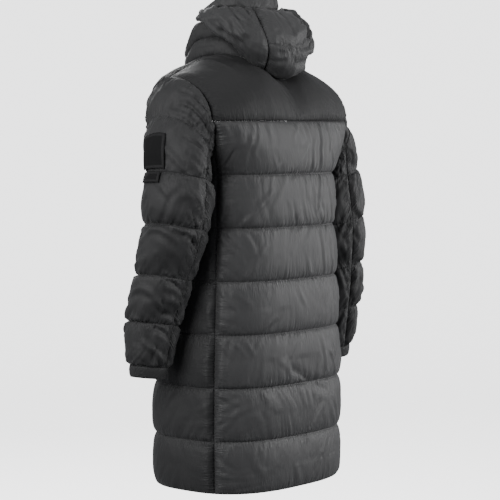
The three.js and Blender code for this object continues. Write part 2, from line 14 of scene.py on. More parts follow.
import bmesh
import bpy
import numpy as np
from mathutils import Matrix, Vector

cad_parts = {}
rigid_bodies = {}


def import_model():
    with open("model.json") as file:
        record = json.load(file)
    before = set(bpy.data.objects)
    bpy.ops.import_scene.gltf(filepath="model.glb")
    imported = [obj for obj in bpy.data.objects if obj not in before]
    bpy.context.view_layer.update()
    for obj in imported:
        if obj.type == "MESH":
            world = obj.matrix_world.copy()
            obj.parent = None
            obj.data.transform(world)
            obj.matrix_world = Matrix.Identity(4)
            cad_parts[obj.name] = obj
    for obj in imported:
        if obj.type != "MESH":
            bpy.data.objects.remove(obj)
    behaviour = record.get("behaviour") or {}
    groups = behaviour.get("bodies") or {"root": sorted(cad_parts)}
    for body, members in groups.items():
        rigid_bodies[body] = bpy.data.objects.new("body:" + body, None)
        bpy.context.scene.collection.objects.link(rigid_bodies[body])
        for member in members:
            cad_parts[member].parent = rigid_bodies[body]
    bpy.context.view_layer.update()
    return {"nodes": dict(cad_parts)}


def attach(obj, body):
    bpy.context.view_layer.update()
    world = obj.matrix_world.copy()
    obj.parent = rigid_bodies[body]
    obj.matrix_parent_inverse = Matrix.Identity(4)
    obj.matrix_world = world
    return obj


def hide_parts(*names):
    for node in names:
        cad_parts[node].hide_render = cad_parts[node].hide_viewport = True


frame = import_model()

logging.basicConfig(level=logging.INFO, format="%(name)s: %(message)s")
log = logging.getLogger("coat")

Array = np.ndarray
Place = Callable[[Array, Array], Array]

MM = 0.001
BODY = "coat"

# Sizes shared with the solids
YOKE_Z = -130.0
BAFFLES = 7
BAFFLE_HEIGHT = 120.0
HEM_Z = YOKE_Z - BAFFLES * BAFFLE_HEIGHT
CLOTH = 3.0
SEAM_GAP = 0.3
SEAM_DIP = 16.0
SEAM_FADE = 14.0
CALM_REACH = 38.0
PUCKERS = {"wave": (6.5, 13, 27), "height": (1.4, 2.3, 2.1), "reach": (6, 14, 30)}
BACK_SEAM = 20.5
ZIP_WIDTH = 7.0
SIDE_RADIUS = 215.0

BODY_SECTIONS = {
    "z": [HEM_Z, -850, -730, -610, -490, -370, -290, -235, -180, YOKE_Z],
    "half_width": [217, 221, 219, 213, 204, 196, 193, 199, 231, 258],
    "half_depth": [160, 161, 160, 158, 156, 155, 154, 153, 152, 150],
    "squareness": [2.8, 2.8, 2.9, 2.9, 3, 3, 3, 3, 3, 3],
}
ARMHOLE_Y, ARMHOLE_HALF_DEPTH, ARMHOLE_HALF_HEIGHT = 6.0, 89.0, 94.0
ARMHOLE_LEAN, ARMHOLE_TOP_X = 34.0, 242.0
NECK_Y, NECK_HALF_WIDTH, NECK_BACK, NECK_FRONT = -48.0, 90.0, 102.0, 108.0
NECK_HEIGHTS = {
    "angle": [-90, -60, -30, 0, 20, 45, 70, 84, 90],
    "z": [-28, -8, 6, 18, 18, 5, -18, -25.3, -26],
}
COLLAR_TOPS = {
    "angle": [-90, -62, -38, -28, -18, 0, 40, 90],
    "z": [36, 38, 54, 76, 96, 102, 106, 106],
}
LEFT_SLEEVE = {
    "out_x": [242, 290, 335, 340, 340, 340, 338, 335],
    "out_z": [-36, -122, -243, -356, -470, -576, -674, -702],
    "in_x": [205, 226, 217, 221, 232, 243, 258, 264],
    "in_z": [-224, -240, -272, -382, -490, -590, -684, -710],
    "y": [6, 14, 32, 27, -3, -32, -41, -44],
    "half_depth": [89, 79, 67, 66, 55, 48, 40, 35],
    "lean": [34, 20, 6, 0, 0, 0, 0, 0],
}
RIGHT_SLEEVE = {
    **LEFT_SLEEVE,
    "out_x": [242, 290, 335, 339, 338, 337, 336, 335],
    "y": [6, 12, 22, 36, 40, 33, 24, 22],
    "half_depth": [89, 79, 67, 66, 55, 48, 38, 34],
}
SLEEVE_ROWS = 6
CUFF_END = 7
SLEEVE_SEAM = 100.0
HOOD_Y = -30.0
HOOD_ANGLES = [-30, -6, 15, 38, 62, 90]
HOOD_RADII = [
    [99, 100, 101, 100, 98, 95],
    [107, 109, 113, 108, 96, 90],
    [110, 116, 127, 116, 93, 85],
    [110, 122, 146, 122, 90, 79],
    [108, 134, 165, 127, 88, 74],
    [105, 142, 170, 128, 87, 71],
]
HOOD_LEVELS = [
    [104, 105, 106.5, 108, 109.5, 114],
    [100, 100, 107, 115, 119, 137],
    [80, 78, 95, 117, 125, 157],
    [50, 44, 74, 112, 127, 175],
    [14.4, 1.4, 46, 103, 126, 186],
    [-8, -17, 38, 96, 124, 190],
]
CREASE = 4
HOOD_SEAM_BOTTOM, HOOD_SEAM_CREASE = 72.0, 56.0


def mix(start, end, share):
    """Go from start to end by a share. Args: numbers or arrays. Returns: the value between."""
    return start + (end - start) * share


def smooth(value):
    """Ease a share in and out. Args: value, any number. Returns: 0 to 1."""
    held = np.clip(value, 0.0, 1.0)
    return held * held * (3 - 2 * held)


def sine(degrees):
    """Args: degrees. Returns: their sine."""
    return np.sin(np.radians(degrees))


def cosine(degrees):
    """Args: degrees. Returns: their cosine."""
    return np.cos(np.radians(degrees))


def curve_through(values: Array, place: Array) -> Array:
    """Smooth curve through evenly counted values.

    Args:
        values: one row of values, or a row for each point.
        place: where along the row, counted from 0.
    Returns: the value at each place.
    """
    values = np.asarray(values, float)
    place = np.asarray(place, float)
    last = values.shape[-1] - 1
    start = np.clip(np.floor(place).astype(int), 0, last - 1)
    t = place - start

    def pick(offset: int) -> Array:
        index = np.clip(start + offset, 0, last)
        if values.ndim == 1:
            return values[index]
        return np.take_along_axis(values, index[..., None], axis=-1)[..., 0]

    before, here, there, after = (pick(k) for k in (-1, 0, 1, 2))
    slope_here = np.where(start == 0, there - here, (there - before) / 2)
    slope_there = np.where(start + 1 == last, there - here, (after - here) / 2)
    t2, t3 = t * t, t * t * t
    return (
        (2 * t3 - 3 * t2 + 1) * here
        + (t3 - 2 * t2 + t) * slope_here
        + (3 * t2 - 2 * t3) * there
        + (t3 - t2) * slope_there
    )


def place_of(column: Sequence[float], wanted: Array) -> Array:
    """Args: a rising column and the values to find. Returns: their row numbers with fractions."""
    column = np.asarray(column, float)
    wanted = np.asarray(wanted, float)
    start = np.clip(np.searchsorted(column, wanted, side="right") - 1, 0, len(column) - 2)
    return start + (wanted - column[start]) / (column[start + 1] - column[start])


def point(x, y, z) -> Array:
    """Args: three arrays. Returns: one array of points."""
    return np.stack(np.broadcast_arrays(x, y, z), axis=-1).astype(float)


def body_size(place: Array) -> list[Array]:
    """Args: rows passed in the body's table. Returns: half width, half depth and squareness there."""
    columns = ("half_width", "half_depth", "squareness")
    return [curve_through(BODY_SECTIONS[column], place) for column in columns]


def body_point(z: Array, angle: Array) -> Array:
    """Args: height and angle from +X towards the back. Returns: a point of the body's lining side."""
    width, depth, n = body_size(place_of(BODY_SECTIONS["z"], z))
    across, along = cosine(angle), sine(angle)
    radius = (np.abs(across / width) ** n + np.abs(along / depth) ** n) ** (-1 / n)
    return point(radius * across, radius * along, z)


def armhole_y(z: Array, side: int) -> Array:
    """Args: height, and 1 for the back or -1 for the front. Returns: y of the armhole's edge."""
    rise = (z - YOKE_Z) / ARMHOLE_HALF_HEIGHT
    bottom = ARMHOLE_Y + ARMHOLE_LEAN
    return mix(bottom, ARMHOLE_Y + side * ARMHOLE_HALF_DEPTH, np.sqrt(np.maximum(0, 1 - rise * rise)))


def armhole_angle(z: Array, side: int) -> Array:
    """Args: height and side as above. Returns: the angle where the body meets the armhole."""
    wanted = armhole_y(z, side)
    low, high = np.full_like(wanted, -80.0), np.full_like(wanted, 80.0)
    for _ in range(30):
        middle = (low + high) / 2
        below = body_point(z, middle)[..., 1] < wanted
        low, high = np.where(below, middle, low), np.where(below, high, middle)
    return low


def armhole_bottom(angle: Array) -> Array:
    """Args: an angle of the body's side. Returns: the height of the armhole's lower edge there."""
    bottom = ARMHOLE_Y + ARMHOLE_LEAN
    z = np.full_like(np.asarray(angle, float), YOKE_Z - ARMHOLE_HALF_HEIGHT)
    beyond = np.zeros_like(z, bool)
    for _ in range(30):
        y = body_point(z, angle)[..., 1]
        side = np.where(y > bottom, 1.0, -1.0)
        share = (y - bottom) / (ARMHOLE_Y + side * ARMHOLE_HALF_DEPTH - bottom)
        beyond |= share >= 1
        z = mix(z, YOKE_Z - ARMHOLE_HALF_HEIGHT * np.sqrt(np.clip(1 - share * share, 0, 1)), 0.6)
    return np.where(beyond, YOKE_Z, np.minimum(z, YOKE_Z))


def neck_point(angle: Array) -> Array:
    """Args: angle from +X towards the back. Returns: a point of the neck seam."""
    folded = np.where(angle > 90, 180 - angle, angle)
    z = curve_through(NECK_HEIGHTS["z"], place_of(NECK_HEIGHTS["angle"], folded))
    depth = np.where(folded > 0, NECK_BACK, NECK_FRONT)
    return point(NECK_HALF_WIDTH * cosine(angle), NECK_Y + depth * sine(angle), z)


def sleeve_point(rings: dict, place: Array, turn: Array) -> Array:
    """Args: a sleeve's table, rings passed, degrees from the outermost line. Returns: a lining point."""
    size = {name: curve_through(column, place) for name, column in rings.items()}
    outward, backward = cosine(turn), sine(turn)
    middle = size["y"] - np.sign(outward) * size["lean"]
    edge = size["y"] + np.sign(backward) * size["half_depth"]
    return point(
        mix(size["in_x"], size["out_x"], (1 + outward) / 2),
        mix(middle, edge, np.abs(backward)),
        mix(size["in_z"], size["out_z"], (1 + outward) / 2),
    )


def armhole_step(turn: Array) -> Array:
    """Args: degrees round the sleeve. Returns: how far the armhole stands out from the plain ring."""
    plain = sleeve_point(LEFT_SLEEVE, np.zeros_like(turn), turn)
    back = armhole_angle(np.array(YOKE_Z), 1)
    front = armhole_angle(np.array(YOKE_Z), -1)
    level = np.array(YOKE_Z)
    base = np.where(sine(turn) < 0, body_point(level, front)[0], body_point(level, back)[0])
    over = mix(base, ARMHOLE_TOP_X, 1 - np.abs(sine(turn)))
    place = np.minimum(place_of(BODY_SECTIONS["z"], plain[..., 2]), len(BODY_SECTIONS["z"]) - 1)
    width, depth, n = body_size(place)
    under = width * np.maximum(1e-6, 1 - np.abs(plain[..., 1] / depth) ** n) ** (1 / n)
    return np.where(cosine(turn) < 0, under, over) - plain[..., 0] + SEAM_GAP


def collar_point(angle: Array, v: Array) -> Array:
    """Args: angle as for the neck, share of the way up. Returns: a lining point of the collar."""
    folded = np.where(angle > 90, 180 - angle, angle)
    base = neck_point(angle)
    top = curve_through(COLLAR_TOPS["z"], place_of(COLLAR_TOPS["angle"], folded))
    rise = CLOTH + mix(0.6, 4, np.clip((folded + 90) / 90, 0, 1))
    y = base[..., 1]
    return point(
        base[..., 0] * mix(1, 0.93, v),
        mix(y, NECK_Y + (y - NECK_Y) * 0.93 - 6, v),
        mix(base[..., 2] + rise, top, v),
    )


def hood_point(angle: Array, place: Array) -> Array:
    """Args: angle as above, place along the profile. Returns: a lining point of the hood."""
    folded = np.where(angle > 90, 180 - angle, angle)
    row = place_of(HOOD_ANGLES, folded)
    radii, levels = np.array(HOOD_RADII, float).T, np.array(HOOD_LEVELS, float).T
    profile_r = np.stack([curve_through(column, row) for column in radii], axis=-1)
    profile_z = np.stack([curve_through(column, row) for column in levels], axis=-1)
    radius = curve_through(profile_r, place)
    return point(radius * cosine(angle), HOOD_Y + radius * sine(angle), curve_through(profile_z, place))


def placed(name: str, data: bpy.types.ID) -> bpy.types.Object:
    """Args: a name, and a mesh, light or camera. Returns: its object, linked at the origin."""
    piece = bpy.data.objects.new(name, data)
    bpy.context.scene.collection.objects.link(piece)
    return piece


class Sag(Enum):
    """Where the fill of a quilted row has settled."""

    EVEN = 1.0
    LOW = 0.88


def noise(x: Array, y: Array, seed: int) -> Array:
    """Smooth seeded noise.

    Args:
        x, y: places, in wavelengths.
        seed: picks the pattern.
    Returns: values between -1 and 1.
    """
    x, y = np.broadcast_arrays(np.asarray(x, float), np.asarray(y, float))
    table = np.random.default_rng(seed).uniform(-1, 1, (64, 64))
    x0, y0 = np.floor(x).astype(int), np.floor(y).astype(int)
    fx, fy = x - x0, y - y0
    fx, fy = fx * fx * (3 - 2 * fx), fy * fy * (3 - 2 * fy)

    def corner(i: int, k: int) -> Array:
        return table[(x0 + i) % 64, (y0 + k) % 64]

    return mix(mix(corner(0, 0), corner(1, 0), fx), mix(corner(0, 1), corner(1, 1), fx), fy)


def quilt(share: Array, sag: Sag = Sag.LOW) -> Array:
    """Args: share of the way up one quilted row, and how it sags. Returns: its fullness, 0 to 1."""
    eased = np.clip(share, 0, 1) ** sag.value
    return np.maximum(0, 1 - np.abs(2 * eased - 1) ** 2.4) ** 0.55


def edge_rise(distance: Array, dip: float = SEAM_DIP) -> Array:
    """Args: distance from a sewn edge. Returns: the share of the puff reached there."""
    return np.sqrt(smooth(np.asarray(distance) / dip))


def quilt_rows(count: int, each: int) -> Array:
    """Args: quilted rows and steps in each. Returns: shares of the way up, denser at the seams."""
    step = np.arange(each) / each
    dense = mix(step, (1 - np.cos(math.pi * step)) / 2, 0.55)
    return np.append((np.arange(count)[:, None] + dense).ravel(), count) / count


@dataclass(frozen=True)
class Fold:
    """One fold, given in millimetres across and along its panel."""

    start: tuple[float, float]
    end: tuple[float, float]
    width: float
    height: float

    def lift(self, across: Array, along: Array) -> Array:
        """Args: where the panel's points are. Returns: how far the fold lifts each of them."""
        first, last = np.array(self.start, float), np.array(self.end, float)
        run = last - first
        length = math.hypot(*run)
        run /= length
        dx, dy = across - first[0], along - first[1]
        down = dx * run[0] + dy * run[1]
        bend = 0.16 * self.width * np.sin(down / length * 5.3 + first[0])
        off = (dx * run[1] - dy * run[0] + bend) / self.width
        taper = smooth((down + self.width) / (1.6 * self.width))
        taper = taper * smooth((length + self.width - down) / (1.6 * self.width))
        flanks = 0.55 * np.exp(-((off - 1.35) ** 2)) + 0.35 * np.exp(-((off + 1.5) ** 2))
        middle = np.exp(-(off**2)) if self.height > 0 else np.exp(-1.6 * np.abs(off))
        return self.height * (middle - flanks) * taper


@dataclass(frozen=True)
class Gathers:
    """How much loose cloth is gathered along a panel's sewn lines."""

    across_seams: float = 1.0
    at_edges: float = 0.7
    body: float = 1.0
    first_edge: float = 1.0


@dataclass(frozen=True)
class Settling:
    """How the cloth simulation settles a shell, and how far it may move it, in millimetres."""

    frames: int = 14
    quality: int = 4
    mass: float = 0.12
    stretch: float = 18.0
    shear: float = 6.0
    bend: float = 0.12
    damping: float = 6.0
    air: float = 2.0
    pressure: float = 3.0
    least_wall: float = 1.6
    most_out: float = 7.0
    most_slide: float = 5.0


@dataclass
class Panel:
    """One padded cloth panel: a plain lining side and a puffed, gathered shell."""

    name: str
    surface: Place
    puff: Place
    columns: int
    rows: Array
    seams: Sequence[float]
    seed: int
    gathers: Gathers = Gathers()
    cloth: float = CLOTH
    upright: Optional[Callable[[Array], Array]] = None
    around: bool = False
    mirrored: bool = False
    folds: Sequence[Fold] = ()
    lining_step: int = 4
    loose: float = 0.0
    settling: Settling = Settling()
    across: Array = field(init=False, repr=False, default=None)
    along: Array = field(init=False, repr=False, default=None)
    base: Array = field(init=False, repr=False, default=None)
    normal: Array = field(init=False, repr=False, default=None)
    outer: Array = field(init=False, repr=False, default=None)
    sewn: Array = field(init=False, repr=False, default=None)
    side: Array = field(init=False, repr=False, default=None)

    def grid(self) -> tuple[Array, Array]:
        """Returns: the shares across and along of every point of the shell."""
        u = np.linspace(0, 1, self.columns + 1)
        return np.meshgrid(u, self.rows)

    def measure(self, u: Array, v: Array) -> None:
        """Set the lining points, the outward directions and the lengths. Args: the shares."""
        step = 1e-3
        if self.around:
            u0, u1 = u - step, u + step
        else:
            u0, u1 = np.maximum(0, u - step), np.minimum(1, u + step)
        v0, v1 = np.maximum(0, v - step), np.minimum(1, v + step)
        along_u = self.surface(u1, v) - self.surface(u0, v)
        along_v = self.surface(u, v1) - self.surface(u, v0)
        normal = np.cross(along_u, along_v)
        normal /= np.maximum(np.linalg.norm(normal, axis=-1, keepdims=True), 1e-9)
        if self.upright is not None:
            normal[..., 2] *= self.upright(v)
        self.normal = normal / np.maximum(np.linalg.norm(normal, axis=-1, keepdims=True), 1e-9)
        self.base = self.surface(u, v)
        step_u = np.linalg.norm(np.diff(self.base, axis=1), axis=-1)
        step_v = np.linalg.norm(np.diff(self.base, axis=0), axis=-1)
        self.across = np.pad(np.cumsum(step_u, axis=1), ((0, 0), (1, 0)))
        self.along = np.pad(np.cumsum(step_v, axis=0), ((1, 0), (0, 0)))

    def shape(self) -> None:
        """Raise the shell over the lining: fill, gathers at the sewn lines, and folds."""
        u, v = self.grid()
        self.measure(u, v)
        middle = self.along[:, self.columns // 2]
        seam_along = np.interp(self.seams, self.rows, middle)
        height = np.interp(v[:, 0], self.rows, middle)[:, None]
        offsets = np.abs(height - seam_along[None, :])
        nearest = np.argmin(offsets, axis=1)
        distance = np.min(offsets, axis=1)[:, None] + 0 * u
        key = (nearest * 2 + (middle > seam_along[nearest]))[:, None] + 0 * u
        width = self.across[:, -1:]
        edge = np.full_like(u, 1e3) if self.around else np.minimum(self.across, width - self.across)
        side = (self.across > width / 2) * 1.0
        room = smooth(distance / SEAM_FADE) * smooth(edge / SEAM_FADE)
        fill = self.puff(u, v) + self.gathers.body * room * self.swell()
        plain = self.base + self.normal * (self.cloth + fill)[..., None]
        self.outer = plain
        self.loosen()
        calm = mix(self.gathers.first_edge, 1.0, np.where(side > 0, 1.0, smooth(self.across / CALM_REACH)))
        self.outer = mix(plain, self.outer, calm[..., None])
        settled = np.einsum("ijk,ijk->ij", self.outer - self.base, self.normal)
        crease = self.gathers.across_seams * self.gather(self.across, distance, key * 3.7, edge)
        edges = self.gathers.at_edges * np.where(side > 0, 1.0, self.gathers.first_edge)
        crease += edges * self.gather(self.along, edge, 40 + side * 5.3, distance)
        crease += self.gathers.body * room * self.rumple()
        for fold in self.folds:
            crease += fold.lift(self.across, self.along) * smooth(np.minimum(distance, edge) / 7)
        height = settled + calm * crease
        thin = 0.55 * self.cloth
        pressed = thin + (self.cloth - thin) * np.exp((height - self.cloth) / 2)
        height = np.where(height < self.cloth, pressed, height)
        uneven = 1 + 0.6 * noise(self.across / 40, key, self.seed + 31)
        self.sewn = np.exp(-distance / SEAM_FADE) * uneven
        uneven = 1 + 0.6 * noise(self.along / 40, side, self.seed + 32)
        self.side = np.exp(-edge / SEAM_FADE) * uneven
        self.outer = self.outer + self.normal * (height - settled)[..., None]

    def gather(self, run: Array, distance: Array, key: Array, other: Array) -> Array:
        """Puckers that stand square to a sewn line.

        Args:
            run: length along the line.
            distance: distance from the line.
            key: tells one line, and one side of it, from the next.
            other: distance from the line that crosses it.
        Returns: the lift in millimetres.
        """
        lean = noise(run / 70, key, self.seed + 3) * distance * 0.9
        strength = 0.75 + 0.6 * noise(run / 55, key + 9, self.seed + 4)
        total = 0.0
        for number, (wave, height, reach) in enumerate(zip(*PUCKERS.values())):
            pattern = noise((run + lean) / wave, key * 1.3 + number * 11, self.seed + number)
            rise = distance / reach * np.exp(1 - distance / reach)
            total = total + height * (1.9 * np.abs(pattern) - 0.65) * rise
        return total * np.clip(strength, 0.1, 1.5) * smooth(other / 9)

    def swell(self) -> Array:
        """Returns: the uneven spread of the fill, in millimetres."""
        x, y = self.across, self.along
        return 1.3 * noise(x / 95, y / 70, self.seed + 22) + 0.7 * noise(x / 42, y / 38, self.seed + 23)

    def rumple(self) -> Array:
        """Returns: the slanting creases of the cloth over its fill, in millimetres."""
        x, y = self.across, self.along
        bend = 14 * noise(x / 90, y / 60, self.seed + 21)
        slant = noise((x + 0.8 * y + bend) / 34, (y - 0.8 * x) / 120, self.seed + 24)
        other = noise((x - 0.7 * y + bend) / 27, (y + 0.7 * x) / 95, self.seed + 25)
        patch = smooth(0.5 + noise(x / 110, y / 90, self.seed + 26))
        fine = noise((x + 0.5 * y + bend) / 13, (y - 0.5 * x) / 60, self.seed + 27)
        broad = 1.5 * (np.abs(slant) - 0.35) * patch + 1.2 * (np.abs(other) - 0.35) * (1 - patch)
        return broad + 0.45 * (np.abs(fine) - 0.35)

    def loosen(self) -> None:
        """Let a cloth simulation settle the shell between its sewn lines."""
        if self.loose <= 0:
            return
        how = self.settling
        rows, columns = self.outer.shape[:2]
        mesh = bpy.data.meshes.new("loose cloth")
        index = np.arange(rows * columns).reshape(rows, columns)
        mesh.from_pydata((self.outer * MM).reshape(-1, 3), [], self.quads(index).tolist())
        cloth = placed("loose cloth", mesh)
        held = np.zeros((rows, columns), bool)
        held[[0, -1], :] = True
        if not self.around:
            held[:, [0, -1]] = True
        for seam in self.seams:
            held[np.argmin(np.abs(self.rows - seam)), :] = True
        group = cloth.vertex_groups.new(name="sewn")
        group.add(index[held].tolist(), 1.0, "REPLACE")
        settings = cloth.modifiers.new("cloth", "CLOTH")
        cushion = settings.settings
        cushion.vertex_group_mass = "sewn"
        cushion.quality = how.quality
        cushion.mass = how.mass
        cushion.tension_stiffness = cushion.compression_stiffness = how.stretch
        cushion.shear_stiffness = how.shear
        cushion.bending_stiffness = how.bend
        cushion.tension_damping = cushion.compression_damping = how.damping
        cushion.air_damping = how.air
        cushion.use_pressure = True
        cushion.uniform_pressure_force = how.pressure
        cushion.shrink_min = -self.loose
        cushion.effector_weights.gravity = 0.0
        settings.collision_settings.use_collision = False
        settings.collision_settings.use_self_collision = False
        scene = bpy.context.scene
        settings.point_cache.frame_start, settings.point_cache.frame_end = 1, how.frames
        for frame_number in range(1, how.frames + 1):
            scene.frame_set(frame_number)
        settled = cloth.evaluated_get(bpy.context.evaluated_depsgraph_get()).data
        found = np.empty(rows * columns * 3)
        settled.vertices.foreach_get("co", found)
        found = found.reshape(rows, columns, 3) / MM
        scene.frame_set(1)
        bpy.data.objects.remove(cloth)
        bpy.data.meshes.remove(mesh)
        move = found - self.outer
        out = np.einsum("ijk,ijk->ij", move, self.normal)
        height = np.einsum("ijk,ijk->ij", self.outer - self.base, self.normal)
        slide = move - self.normal * out[..., None]
        out = np.clip(out, how.least_wall - height, how.most_out)
        size = np.linalg.norm(slide, axis=-1, keepdims=True)
        slide *= np.minimum(1, how.most_slide / np.maximum(size, 1e-6))
        if np.isfinite(found).all():
            self.outer = self.outer + self.normal * out[..., None] + slide

    def mesh(self) -> bpy.types.Mesh:
        """Returns: the closed mesh of the panel, with its UV map and its sewn attribute."""
        rows, columns = self.outer.shape[:2]
        if self.around:
            columns -= 1
        step = self.lining_step
        shell = np.arange(rows * columns).reshape(rows, columns)
        inner_rows, inner_columns = np.arange(0, rows, step), np.arange(0, columns, step)
        inner = self.base[np.ix_(inner_rows, inner_columns)]
        lining = rows * columns + np.arange(inner.shape[0] * inner.shape[1]).reshape(inner.shape[:2])
        wrap = (lambda a: np.hstack([a, a[:, :1]])) if self.around else (lambda a: a)
        shell, lining = wrap(shell), wrap(lining)
        quads = [self.quads(shell), self.quads(lining)[:, ::-1]]
        fans = []
        for outer_line, inner_line, flip in self.borders(shell, lining):
            fans += self.fan(outer_line, inner_line, step, flip)
        faces = np.vstack(quads).tolist() + fans
        points = np.vstack([self.outer[:, :columns].reshape(-1, 3), inner.reshape(-1, 3)]) * MM
        across, along = self.across[:, :columns], self.along[:, :columns]
        flat = np.stack([across, along], -1)
        spread = np.vstack([flat.reshape(-1, 2), flat[np.ix_(inner_rows, inner_columns)].reshape(-1, 2)])
        if self.mirrored:
            points = points * np.array([-1, 1, 1])
            faces = [face[::-1] for face in faces]
        mesh = bpy.data.meshes.new(self.name)
        mesh.from_pydata(points, [], faces)
        mesh.polygons.foreach_set("use_smooth", np.ones(len(mesh.polygons), bool))
        corner = np.empty(len(mesh.loops), int)
        mesh.loops.foreach_get("vertex_index", corner)
        layer = mesh.uv_layers.new(name="cloth")
        layer.uv.foreach_set("vector", (spread[corner] * MM).ravel())
        for label, near in (("sewn", self.sewn[:, :columns]), ("side", self.side[:, :columns])):
            values = np.concatenate([near.ravel(), near[np.ix_(inner_rows, inner_columns)].ravel()])
            mesh.attributes.new(label, "FLOAT", "POINT").data.foreach_set("value", values)
        mesh.update()
        return mesh

    @staticmethod
    def quads(index: Array) -> Array:
        """Args: point numbers in rows. Returns: the four corners of every face."""
        corners = [index[:-1, :-1], index[:-1, 1:], index[1:, 1:], index[1:, :-1]]
        return np.stack(corners, -1).reshape(-1, 4)

    def borders(self, shell: Array, lining: Array) -> list[tuple[Array, Array, bool]]:
        """Args: both grids of numbers. Returns: each open border's two lines, and if it is turned."""
        lines = [(shell[0], lining[0], True), (shell[-1], lining[-1], False)]
        if not self.around:
            lines += [(shell[:, 0], lining[:, 0], False), (shell[:, -1], lining[:, -1], True)]
        return lines

    @staticmethod
    def fan(outer: Array, inner: Array, step: int, flip: bool) -> list[list[int]]:
        """Close the wall between a fine and a coarse line.

        Args:
            outer, inner: point numbers of the fine and the coarse line.
            step: fine steps to each coarse one.
            flip: turn the faces round.
        Returns: the faces.
        """
        faces = []
        for number in range(len(inner) - 1):
            start = number * step
            for i in range(start, start + step):
                faces.append([outer[i], outer[i + 1], inner[number]])
            faces.append([inner[number], outer[start + step], inner[number + 1]])
        return [[int(i) for i in (face[::-1] if flip else face)] for face in faces]

    def seam_line(self, seam: float) -> Array:
        """Args: the share along at which it is sewn. Returns: the shell's points on that line."""
        line = self.outer[np.argmin(np.abs(self.rows - seam))]
        return line * (np.array([-1, 1, 1]) if self.mirrored else 1)


def degrees_for(length: float, radius: float) -> float:
    """Args: a length round a circle of this radius. Returns: its angle in degrees."""
    return math.degrees(length / radius)


HALF_SEAM = degrees_for(SEAM_GAP / 2, SIDE_RADIUS)
SHOULDER_TIP = np.array([ARMHOLE_TOP_X, ARMHOLE_Y - ARMHOLE_LEAN, YOKE_Z + ARMHOLE_HALF_HEIGHT])


def zip_angle(half_depth: float) -> float:
    """Args: depth of the body in front of its axis. Returns: the angle where a front meets the zip."""
    return -90 + math.degrees(math.atan((ZIP_WIDTH / 2 + SEAM_GAP) / half_depth))


@dataclass
class Garment:
    """What every sub-assembly of the coat shares."""

    def panels(self) -> list[Panel]:
        """Returns: the padded panels of this sub-assembly."""
        raise NotImplementedError

    def build(self) -> list[Panel]:
        """Shape every panel and let its cloth settle. Returns: the panels."""
        made = self.panels()
        for panel in made:
            panel.shape()
            log.info("%s: %d by %d points", panel.name, *panel.outer.shape[:2])
        return made

    def dress(self, made: Sequence[Panel], finishes: dict, fills: dict) -> None:
        """Give every panel its object and finish.

        Args:
            made: the shaped panels.
            finishes: materials by name.
            fills: slot, finish and fullness by the start of a panel's name.
        """
        for panel in made:
            slot, finish, fill = next(value for key, value in fills.items() if panel.name.startswith(key))
            piece = placed(f"{panel.name}_cloth", panel.mesh())
            piece.data.materials.append(finishes[finish])
            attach(piece, BODY)
            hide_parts(panel.name)
            log.info("%s is dressed", piece.name)


@dataclass
class Body(Garment):
    """The quilted back and the two fronts that wrap round to the zip."""

    puff: float = 12.0
    back_columns: int = 164
    front_columns: int = 132
    steps: int = 28
    back_folds: Sequence[Fold] = ()

    def back(self) -> Panel:
        """Returns: the quilted back, from seam to seam."""
        top = YOKE_Z - SEAM_GAP / 2

        def surface(u: Array, v: Array) -> Array:
            z = mix(HEM_Z, top, v)
            edge = np.maximum(BACK_SEAM, np.where(z > -224, armhole_angle(z, 1), 0)) + HALF_SEAM
            return body_point(z, mix(edge, 180 - edge, u))

        def puff(u: Array, v: Array) -> Array:
            rise = edge_rise(np.minimum(u, 1 - u) * 2.2 * SIDE_RADIUS)
            return self.puff * quilt((v * BAFFLES) % 1) * rise

        return Panel(
            "back_panel", surface, puff, self.back_columns, quilt_rows(BAFFLES, self.steps),
            np.arange(BAFFLES + 1) / BAFFLES, seed=11, gathers=Gathers(0.7, 0.6, 0.5),
            upright=lambda v: 0.0, folds=self.back_folds,
        )

    def front(self, mirrored: bool) -> Panel:
        """Args: True for the wearer's right. Returns: one quilted front."""
        last, top_line = BACK_SEAM - HALF_SEAM, YOKE_Z - BAFFLE_HEIGHT
        share = (BAFFLES - 1) / BAFFLES

        def angle_at(u: Array, z: Array) -> Array:
            depth = np.abs(body_point(z, np.full_like(z, -90.0))[..., 1])
            zip_edge = -90 + np.degrees(np.arctan((ZIP_WIDTH / 2 + SEAM_GAP) / depth))
            return mix(zip_edge, last, u)

        def place(u: Array, v: Array) -> tuple[Array, Array, Array]:
            level = np.full_like(u, YOKE_Z)
            top = np.minimum(YOKE_Z, armhole_bottom(angle_at(u, level))) - SEAM_GAP / 2
            upper = mix(top_line, top, (v - share) / (1 - share))
            z = np.where(v <= share, mix(HEM_Z, top_line, v / share), upper)
            tall = np.where(v <= share, 1.0, np.clip((top - top_line) / 70, 0, 1))
            return z, angle_at(u, z), tall

        def surface(u: Array, v: Array) -> Array:
            z, angle, _ = place(u, v)
            return body_point(z, angle)

        def puff(u: Array, v: Array) -> Array:
            z, angle, tall = place(u, v)
            under_arm = np.exp(-((angle / 30) ** 2)) * smooth((z + 700) / 250)
            rise = edge_rise(np.minimum(u, 1 - u) * 2.1 * SIDE_RADIUS)
            return self.puff * quilt((v * BAFFLES) % 1) * rise * (1 - 0.6 * under_arm) * tall

        side = "right" if mirrored else "left"
        return Panel(
            f"front_panel_{side}", surface, puff, self.front_columns, quilt_rows(BAFFLES, self.steps),
            np.arange(BAFFLES + 1) / BAFFLES, seed=47 if mirrored else 29, gathers=Gathers(0.75, 0.6, 0.7),
            upright=lambda v: 0.0, mirrored=mirrored,
        )

    def panels(self) -> list[Panel]:
        """Returns: the back and both fronts."""
        return [self.back(), self.front(False), self.front(True)]


